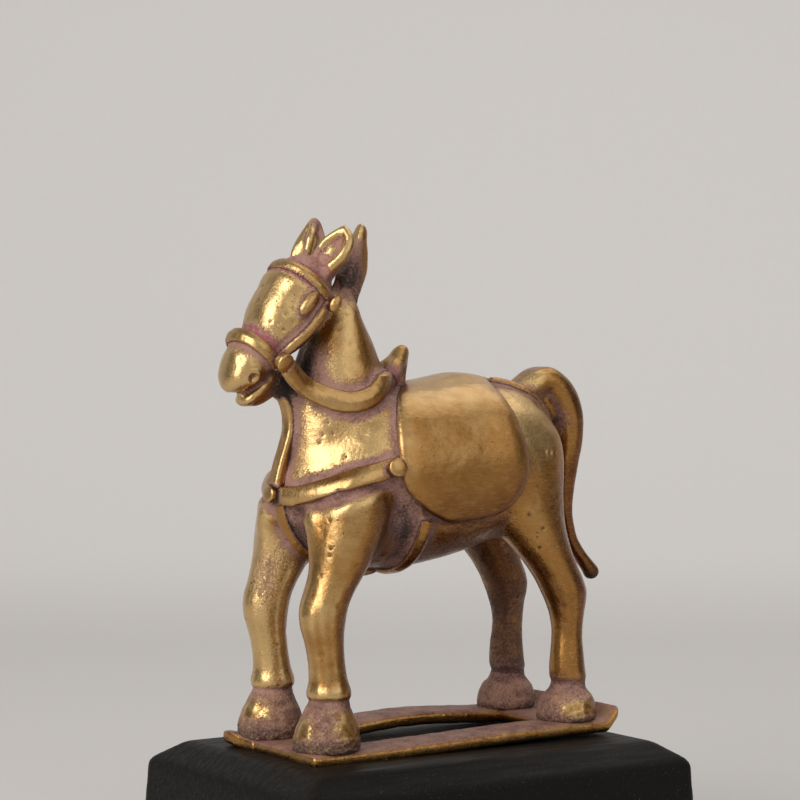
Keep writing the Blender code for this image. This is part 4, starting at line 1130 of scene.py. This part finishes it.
PAPER_GLOW = 0.19


def new_group(name, inputs, outputs):
    """A shader group with its wiring, the values given to it and its output node."""
    group = bpy.data.node_groups.new(name, "ShaderNodeTree")
    sockets_in(group, inputs)
    for label in outputs:
        kind = "NodeSocketColor" if label == "Color" else "NodeSocketFloat"
        group.interface.new_socket(label, in_out="OUTPUT", socket_type=kind)
    wire = Wiring(group)
    return group, wire, wire.add("NodeGroupInput").outputs, wire.add("NodeGroupOutput")


def pits_of(wire, where, scale, chosen_from, size, amount):
    """Round holes in some cells of a random net."""
    net = {"Vector": where, "Scale": scale, "Randomness": 1.0}
    cells = wire.add("ShaderNodeTexVoronoi", net).outputs
    chance = wire.add("ShaderNodeSeparateColor", {"Color": cells["Color"]}).outputs[0]
    width = wire.step(wire.plus(chance, amount), chosen_from, chosen_from + 0.12, 0.0, size)
    return wire.step(wire.minus(width, cells["Distance"]), 0.0, size * 0.5)


def casting_skin_group():
    """Dents, pits and file strokes of an old casting, as masks and a height in millimetres."""
    inputs = {"Vector": None, "Grain": 1.0, "Pits": 0.0}
    outputs = ("Height", "Pits", "Mottle", "Breakup", "Strokes")
    group, wire, given, out = new_group("casting skin", inputs, outputs)
    where = given["Vector"]
    bent = wire.add("ShaderNodeTexNoise", {"Vector": where, "Scale": 1300, "Detail": 2}).outputs["Color"]
    bent = wire.scaled(bent, 0.0009)
    bent = wire.add("ShaderNodeVectorMath", {0: where, 1: bent}, operation="ADD").outputs[0]
    gather = wire.times(wire.minus(wire.noise(where, 95, 2), 0.55), 0.6)
    gather = wire.plus(gather, given["Pits"])
    gather = wire.plus(gather, wire.times(wire.stored("pitting"), 0.16))
    large = pits_of(wire, bent, scale=430, chosen_from=0.9, size=0.21, amount=gather)
    small = pits_of(wire, bent, scale=850, chosen_from=0.84, size=0.22, amount=gather)
    pits = wire.larger(large, wire.times(small, SMALL_PIT_SHARE))
    streaks = []
    for turn in STROKE_TURNS:
        slant = {"Vector": where, "Rotation": turn, "Scale": STROKE_SCALE}
        along = wire.add("ShaderNodeMapping", slant).outputs[0]
        streaks.append(wire.step(wire.noise(along, 1.0, 1, 0.4), 0.58, 0.74))
    strokes = wire.larger(wire.larger(streaks[0], streaks[1]), streaks[2])
    height = wire.times(wire.noise(where, DENT_SCALE, 2, 0.5), DENT_HEIGHT)
    height = wire.plus(height, wire.times(wire.noise(where, DIMPLE_SCALE, 2, 0.5), DIMPLE_HEIGHT))
    height = wire.times(height, given["Grain"])
    height = wire.plus(height, wire.times(strokes, STROKE_HEIGHT))
    height = wire.minus(height, wire.times(pits, PIT_HEIGHT))
    mottle = wire.noise(where, MOTTLE_SCALE, 3)
    breakup = wire.noise(where, BREAKUP_SCALE, 5, 0.68)
    wire.feed(out, dict(zip(outputs, (height, pits, mottle, breakup, strokes))))
    return group


def patina_group():
    """Colour, metal and roughness of brass under its patina, with painted shade and highlights, from the
    values kept on the piece.
    """
    inputs = {"Mottle": 0.5, "Breakup": 0.5, "Pits": 0.0, "Strokes": 0.0, "Satin": 0.0}
    outputs = ("Color", "Metallic", "Roughness", "Crust", "Shine")
    group, wire, given, out = new_group("brass patina", inputs, outputs)
    tarnish_and_painted_light = wire.stored("tarnish_and_painted_light")
    speck = wire.minus(given["Breakup"], 0.5)
    wander = wire.times(speck, 1.1)
    drift = wire.times(wire.minus(given["Mottle"], 0.5), 0.65)
    edge = wire.minus(wire.plus(wander, drift), wire.times(given["Strokes"], 0.16))
    crust = wire.step(wire.plus(wire.stored("grime"), edge), 0.15, 0.85)
    pink = wire.step(wire.plus(wire.stored("rose"), edge), 0.3, 0.9)
    # Near black for soot and painted shade
    black = wire.step(wire.plus(wire.stored("soot_and_shade"), wander), 0.12, 0.95)
    # Bright to brown brass by tarnish, painted shade and painted highlights
    tone = wire.plus(tarnish_and_painted_light, wire.times(drift, 0.6))
    metal_colour = wire.mix(wire.step(tone, 0.0, 0.5), BRIGHT_BRASS_AND_HIGHLIGHT, SATIN_BRASS)
    metal_colour = wire.mix(wire.step(tone, 0.45, 1.15), metal_colour, BROWN_BRASS_AND_SHADE)
    metal_colour = wire.mix(wire.times(given["Strokes"], 0.17), metal_colour, BRIGHT_BRASS_AND_HIGHLIGHT)
    # Mauve darkens at random and with the tarnish and painted shade
    age_and_shade = wire.plus(given["Mottle"], wire.times(speck, 0.9))
    age_and_shade = wire.plus(age_and_shade, wire.times(wire.minus(tarnish_and_painted_light, 0.35), 0.4))
    mauve = wire.mix(wire.step(age_and_shade, 0.3, 0.9), MAUVE, DEEP_MAUVE_AND_SHADE)
    colour = wire.mix(crust, metal_colour, mauve)
    colour = wire.mix(wire.times(pink, 0.8), colour, ROSE)
    colour = wire.mix(black, colour, SOOT_AND_SHADE_BLACK)
    colour = wire.mix(given["Pits"], colour, PIT_BLACK)
    cover = wire.larger(wire.larger(wire.larger(crust, black), given["Pits"]), pink)
    metal = wire.step(cover, 0.0, 1.0, 1.0, 0.15)
    satin = wire.plus(wire.step(given["Breakup"], 0.3, 0.7, 0.25, 0.37), given["Satin"])
    rough = wire.plus(satin, wire.times(cover, 0.28))
    shine = wire.step(cover, 0.0, 0.8, 1.0, 0.12)
    wire.feed(out, dict(zip(outputs, (colour, metal, rough, crust, shine))))
    return group


CASTING_SKIN = casting_skin_group()
PATINA = patina_group()


def new_material(name):
    """A material with its wiring, its surface and the place on the piece."""
    finish = bpy.data.materials.new(name)
    finish.use_nodes = True
    wire = Wiring(finish.node_tree)
    where = wire.add("ShaderNodeTexCoord").outputs["Object"]
    return finish, wire, finish.node_tree.nodes["Principled BSDF"], where


def brass(name, grain, pits, satin):
    """Old brass: rubbed metal under a thin wax, with mauve patina where hands don't reach, and painted shade
    and highlights.
    """
    finish, wire, surface, where = new_material(name)
    casting = {"Vector": where, "Grain": grain, "Pits": pits}
    skin = wire.add("ShaderNodeGroup", casting, node_tree=CASTING_SKIN).outputs
    masks = {label: skin[label] for label in ("Mottle", "Breakup", "Pits", "Strokes")}
    old = wire.add("ShaderNodeGroup", {**masks, "Satin": satin}, node_tree=PATINA).outputs
    crusty = wire.times(wire.times(old["Crust"], skin["Breakup"]), CRUST_HEIGHT)
    height = wire.plus(skin["Height"], crusty)
    relief = wire.bump(height, 1.0, MM)
    shine = wire.times(old["Shine"], COAT)
    wire.feed(surface, {"Base Color": old["Color"], "Metallic": old["Metallic"]})
    wire.feed(surface, {"Roughness": old["Roughness"], "Normal": relief, "Coat Normal": relief})
    wire.feed(surface, {"Coat Weight": shine, "Coat Roughness": COAT_ROUGHNESS})
    return finish


def painted_wood():
    """Satin black paint over wood, with brush lines and dust."""
    finish, wire, surface, where = new_material("black painted wood")
    streak = wire.add("ShaderNodeMapping", {"Vector": where, "Scale": BRUSH_SCALE}).outputs[0]
    brush = wire.noise(streak, 1.0, 4)
    dust = wire.step(wire.noise(where, DUST_SCALE, 2), 0.67, 0.74)
    relief = wire.bump(brush, 0.25, BRUSH_DEPTH)
    wire.feed(surface, {"Base Color": wire.mix(dust, PAINT_BLACK, DUST), "Normal": relief})
    wire.feed(surface, {"Roughness": wire.step(brush, 0.3, 0.7, 0.44, 0.6), "Specular IOR Level": 0.15})
    return finish


def pin_steel():
    """Drawn steel with fine turning marks."""
    finish, wire, surface, where = new_material("pin steel")
    marks = wire.noise(where, TURNING_SCALE, 3)
    wire.feed(surface, {"Base Color": wire.mix(marks, STEEL, DARK_STEEL), "Metallic": 1})
    wire.feed(surface, {"Roughness": wire.step(marks, 0.3, 0.7, 0.25, 0.45)})
    return finish


def pale_paper():
    """Pale grey paper that keeps its shadow and shows a little brighter to the camera and in the metal."""
    finish, wire, surface, where = new_material("pale paper")
    fibre = wire.noise(where, FIBRE_SCALE, 4)
    wire.feed(surface, {"Base Color": wire.mix(fibre, PAPER, PAPER_FIBRE), "Roughness": 0.9})
    ray = wire.add("ShaderNodeLightPath").outputs
    seen = wire.larger(wire.larger(ray["Is Camera Ray"], ray["Is Glossy Ray"]), ray["Is Transmission Ray"])
    height = wire.add("ShaderNodeSeparateXYZ", {0: where}).outputs[2]
    glow = wire.times(seen, wire.step(height, -0.01, 0.03, 0.6 * PAPER_GLOW, PAPER_GLOW))
    wire.feed(surface, {"Emission Color": PAPER_GLOW_COLOUR, "Emission Strength": glow})
    return finish


# Floor, light and camera, in metres

AZIMUTH = math.radians(-33.39)
PITCH = math.radians(2.28)
DISTANCE = 0.80729
AIM_ACROSS = -0.00534
AIM_HEIGHT = 0.13297
VIEW_ANGLE = math.radians(16)
SWEEP_FRONT = -2.5
SWEEP_BEND = 0.5
SWEEP_RADIUS = 0.5
SWEEP_TURN = np.linspace(0.05, math.pi / 2, 24)
SWEEP_TOP = 3.0
SWEEP_SIDES = (-3, 3)

# Lamps: angle round the horse, angle up, distance, size, watts and colour
LAMPS = {
    "key softbox": (-74, 29, 0.95, (0.55, 0.75), 4.7, (1, 0.98, 0.95)),
    "front softbox": (16, 32, 1.2, (1.1, 1.1), 2.1, (1, 0.98, 0.95)),
    "top softbox": (100, 64, 1.0, (0.8, 0.8), 1.9, (1, 0.99, 0.97)),
}
LAMP_AIM = Vector((0, 0, 0.11))
ROOM_COLOUR = (1, 0.97, 0.94, 1)
ROOM_LIGHT_SIDE = (-0.55, -0.75, 0.36)
ROOM_STRENGTHS = (0.1, 0.5)


def direction(azimuth, elevation):
    """The way from the horse to a lamp or camera."""
    flat = math.cos(elevation)
    return Vector((math.sin(azimuth) * flat, -math.cos(azimuth) * flat, math.sin(elevation)))


def sweep():
    """A pale floor that curves up into a backdrop."""
    right = Vector((math.cos(AZIMUTH), math.sin(AZIMUTH), 0))
    away = Vector((-math.sin(AZIMUTH), math.cos(AZIMUTH), 0))
    profile = [(SWEEP_FRONT, 0), (SWEEP_BEND, 0)]
    for turn in SWEEP_TURN:
        ahead = SWEEP_BEND + SWEEP_RADIUS * math.sin(turn)
        profile.append((ahead, SWEEP_RADIUS - SWEEP_RADIUS * math.cos(turn)))
    profile.append((SWEEP_BEND + SWEEP_RADIUS, SWEEP_TOP))
    paper = bmesh.new()
    rows = []
    for ahead, height in profile:
        middle = away * ahead + Vector((0, 0, height))
        rows.append([paper.verts.new(middle + right * side) for side in SWEEP_SIDES])
    for low, high in zip(rows[:-1], rows[1:]):
        paper.faces.new((low[0], low[1], high[1], high[0]))
    mesh = bpy.data.meshes.new("studio sweep")
    paper.to_mesh(mesh)
    paper.free()
    mesh.shade_smooth()
    mesh.materials.append(pale_paper())
    stage = linked("studio_sweep", mesh)


def lamp(name, azimuth, elevation, distance, size, power, colour):
    """A soft light that points at the horse."""
    data = bpy.data.lights.new(name, "AREA")
    data.shape = "RECTANGLE"
    data.size, data.size_y = size
    data.energy = power
    data.color = colour
    back = direction(math.radians(azimuth), math.radians(elevation))
    stand = linked(name, data)
    stand.location = LAMP_AIM + back * distance
    stand.rotation_euler = (-back).to_track_quat("-Z", "Y").to_euler()


def photo_camera():
    """A camera where the photo was taken from."""
    back = direction(AZIMUTH, PITCH)
    right = Vector((math.cos(AZIMUTH), math.sin(AZIMUTH), 0))
    up = back.cross(right)
    data = bpy.data.cameras.new("photo camera")
    data.angle = VIEW_ANGLE
    camera = linked("photo_camera", data)
    spot = back * DISTANCE + right * AIM_ACROSS + Vector((0, 0, AIM_HEIGHT))
    camera.matrix_world = Matrix.Translation(spot) @ Matrix((right, up, back)).transposed().to_4x4()
    bpy.context.scene.camera = camera


def studio():
    """A dim room that is lighter in front on the left, with three soft lights."""
    world = bpy.data.worlds.new("studio")
    bpy.context.scene.world = world
    world.use_nodes = True
    wire = Wiring(world.node_tree)
    way = wire.add("ShaderNodeTexCoord").outputs["Generated"]
    lean = wire.add("ShaderNodeVectorMath", {0: way, 1: ROOM_LIGHT_SIDE}, operation="DOT_PRODUCT")
    strength = wire.step(lean.outputs["Value"], -0.2, 1.0, *ROOM_STRENGTHS)
    wire.feed(world.node_tree.nodes["Background"], {"Color": ROOM_COLOUR, "Strength": strength})
    for name, settings in LAMPS.items():
        lamp(name, *settings)
    bpy.context.scene.view_settings.view_transform = "Standard"


# Making

# Voxel, softening, growth and wave of each casting, in millimetres, and its ropes of clay
CASTINGS = {
    "pommel": (0.25, 0.6, 0.4, 0.12, POMMEL_ROPES),
    "browband": (0.22, 0.42, 0.5, 0.05),
    "cheek_strap": (0.22, 0.42, 0.6, 0.05),
    "eye": (0.16, 0.3, 0.15, 0.0),
    "martingale_upper": (0.22, 0.5, 0.0, 0.04, THROAT_STRAP_ROPES),
    "breast_strap": (0.25, 0.95, 0.8, 0.06),
    "rein": (0.25, 0.7, 0.75, 0.06),
    "saddle_cloth": (0.4, 1.4, 0.8, 0.04),
    "base_": (0.35, 0.85, 0.6, 0.07),
    "plinth": (1.0, 0.9, 0.0, 0.0),
}
STRAP_CASTING = (0.22, 0.42, 0.3, 0.05)
BROWBAND_SINK = 0.6
STRAP_PATINA_TOP = 1.0
POMMEL_PATINA_TOP = 4.2
BRIDLE_HEIGHT = 0.13
BRIDLE_ROSE = 0.6
HARNESS_ROSE = 0.2
STUD_ROSE = 0.3
# Painted contact shade, partly soot, at the foot of the tack and of the studs
TACK_SOOT_AND_SHADE = 0.75
STUD_FOOT_SOOT_AND_SHADE = 0.3
TACK_BROWN = {"girth": 0.7, "martingale_lower": 0.6, "crupper": 0.45, "saddle_cloth": 0.45}
PLAIN_BROWN = 0.38
CLOTH_SEARCH = 3.0
CLOTH_PILLOW = 0.5
CLOTH_REAR_PILLOW = 0.9
CROSS_STRETCH = 1.12
CORNER_CURL = 1.7
CORNER_REACH = 2.0
REAR_CURL = 1.4
RAIL_THICKENING = 0.9
RAIL_GRIME = 0.8
RAIL_SOOT = 0.1
RAIL_BROWN = 0.4
RAIL_PITTING = 0.5


def cast_node(name):
    return cast_piece(name, *by_start(CASTINGS, name, STRAP_CASTING))


def base_rail(name):
    """A flat bar of the base frame. Cross strips reach into the rails, and the far front corner curls up."""
    mesh = cast_node(name)
    points = points_of(mesh)
    if name.startswith("base_cross"):
        points[:, 1] *= CROSS_STRETCH
    curl = smoothstep(-43.5, -49.5, points[:, 0]) * smoothstep(12, 20, points[:, 1])
    points[:, 0] -= CORNER_REACH * curl
    points[:, 2] += CORNER_CURL * curl + REAR_CURL * smoothstep(49.5, 54.5, points[:, 0])
    points[:, 2] -= RAIL_THICKENING * smoothstep(0.2, -0.5, normals_of(mesh)[:, 2])
    put_points(mesh, points)
    grime = RAIL_GRIME * smoothstep(0.35, 0.85, normals_of(mesh)[:, 2])
    even = np.ones(len(grime))
    values = {"grime": grime, "rose": 0 * even, "soot_and_shade": RAIL_SOOT * grime}
    put_values(mesh, {**values, "tarnish_and_painted_light": RAIL_BROWN * even, "pitting": RAIL_PITTING * even})
    return mesh


def cushioned(mesh, values, skin):
    """Swells the saddle cloth inside its rolled edge, browns its rolled edge and its lower half as painted
    shade, and pales its top as painted light.
    """
    points = points_of(mesh)
    x, _, z = points.T
    above = distances(points, skin, CLOTH_SEARCH)
    rolled = 1 - smoothstep(0.3, 1.9, above)
    # Painted shade on the rolled edge towards the rear and on the lower half, painted light on the top
    values["tarnish_and_painted_light"] += 0.5 * rolled * smoothstep(-16, -8, x)
    values["tarnish_and_painted_light"] += 0.3 * smoothstep(118, 104, z) - 0.25 * smoothstep(126, 138, z)
    values["grime"] += 0.5 * rolled * smoothstep(-14, -18, x)
    raised = (CLOTH_PILLOW + CLOTH_REAR_PILLOW * smoothstep(4, 16, x)) * smoothstep(138, 128, z)
    pillow = raised * spread(smoothstep(0.1, 0.9, above), edges_of(mesh), PILLOW_ROUNDS)
    put_points(mesh, points + normals_of(mesh) * pillow[:, None])


def make():
    """Every finished piece, the tack first because the body is sculpted round it."""
    cast_brass = brass("cast brass", grain=1.0, pits=0.0, satin=0.0)
    tack_brass = brass("tack brass", grain=0.8, pits=-0.03, satin=0.0)
    saddle_brass = brass("saddle brass", grain=0.9, pits=-0.03, satin=0.04)
    frame_brass = brass("frame brass", grain=1.4, pits=0.02, satin=0.0)
    tack = {name: cast_node(name) for name in TACK_NODES + ("saddle_cloth",)}
    lowered(tack["breast_strap"], strap_sag)
    for name in pairs("rein"):
        lowered(tack[name], rein_drop)
    lowered(tack["saddle_cloth"], spine_drop)
    body, node, values = cast_body(tack)
    skin, _ = tree_of((), {"cast_body": body})
    split_body(body, node, values, cast_brass)
    sunk(tack["browband"], skin, BROWBAND_SINK)
    stud_shapes, _ = tree_of(STUD_NODES)
    for name, mesh in tack.items():
        rose = BRIDLE_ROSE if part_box(name)[0].z > BRIDLE_HEIGHT else HARNESS_ROSE
        top = POMMEL_PATINA_TOP if name == "pommel" else STRAP_PATINA_TOP
        brown = by_start(TACK_BROWN, name, PLAIN_BROWN)
        values = seat_values(mesh, skin, stud_shapes, top, TACK_SOOT_AND_SHADE, rose, brown)
        if name == "saddle_cloth":
            cushioned(mesh, values, skin)
        put_values(mesh, values)
        finish = saddle_brass if name == "saddle_cloth" else tack_brass
        place("tack_" + name, mesh, finish, "tack_brass", name)
    studs = domed_studs(skin, tack_brass)
    values = seat_values(studs, skin, None, STRAP_PATINA_TOP, STUD_FOOT_SOOT_AND_SHADE, STUD_ROSE, PLAIN_BROWN)
    put_values(studs, values)
    place("tack_studs", studs, tack_brass, "tack_brass", *STUD_NODES)
    for name in ("base_rail_left", "base_rail_right", "base_cross_front", "base_cross_rear"):
        place("cast_" + name, base_rail(name), frame_brass, "frame_brass", name)
    place("painted_plinth", cast_node("plinth"), painted_wood(), "black_painted_wood", "plinth")
    steel = pin_steel()
    for name in ("mounting_pin_fore", "mounting_pin_hind"):
        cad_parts[name].data.materials.clear()
        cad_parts[name].data.materials.append(steel)


make()
sweep()
studio()
photo_camera()
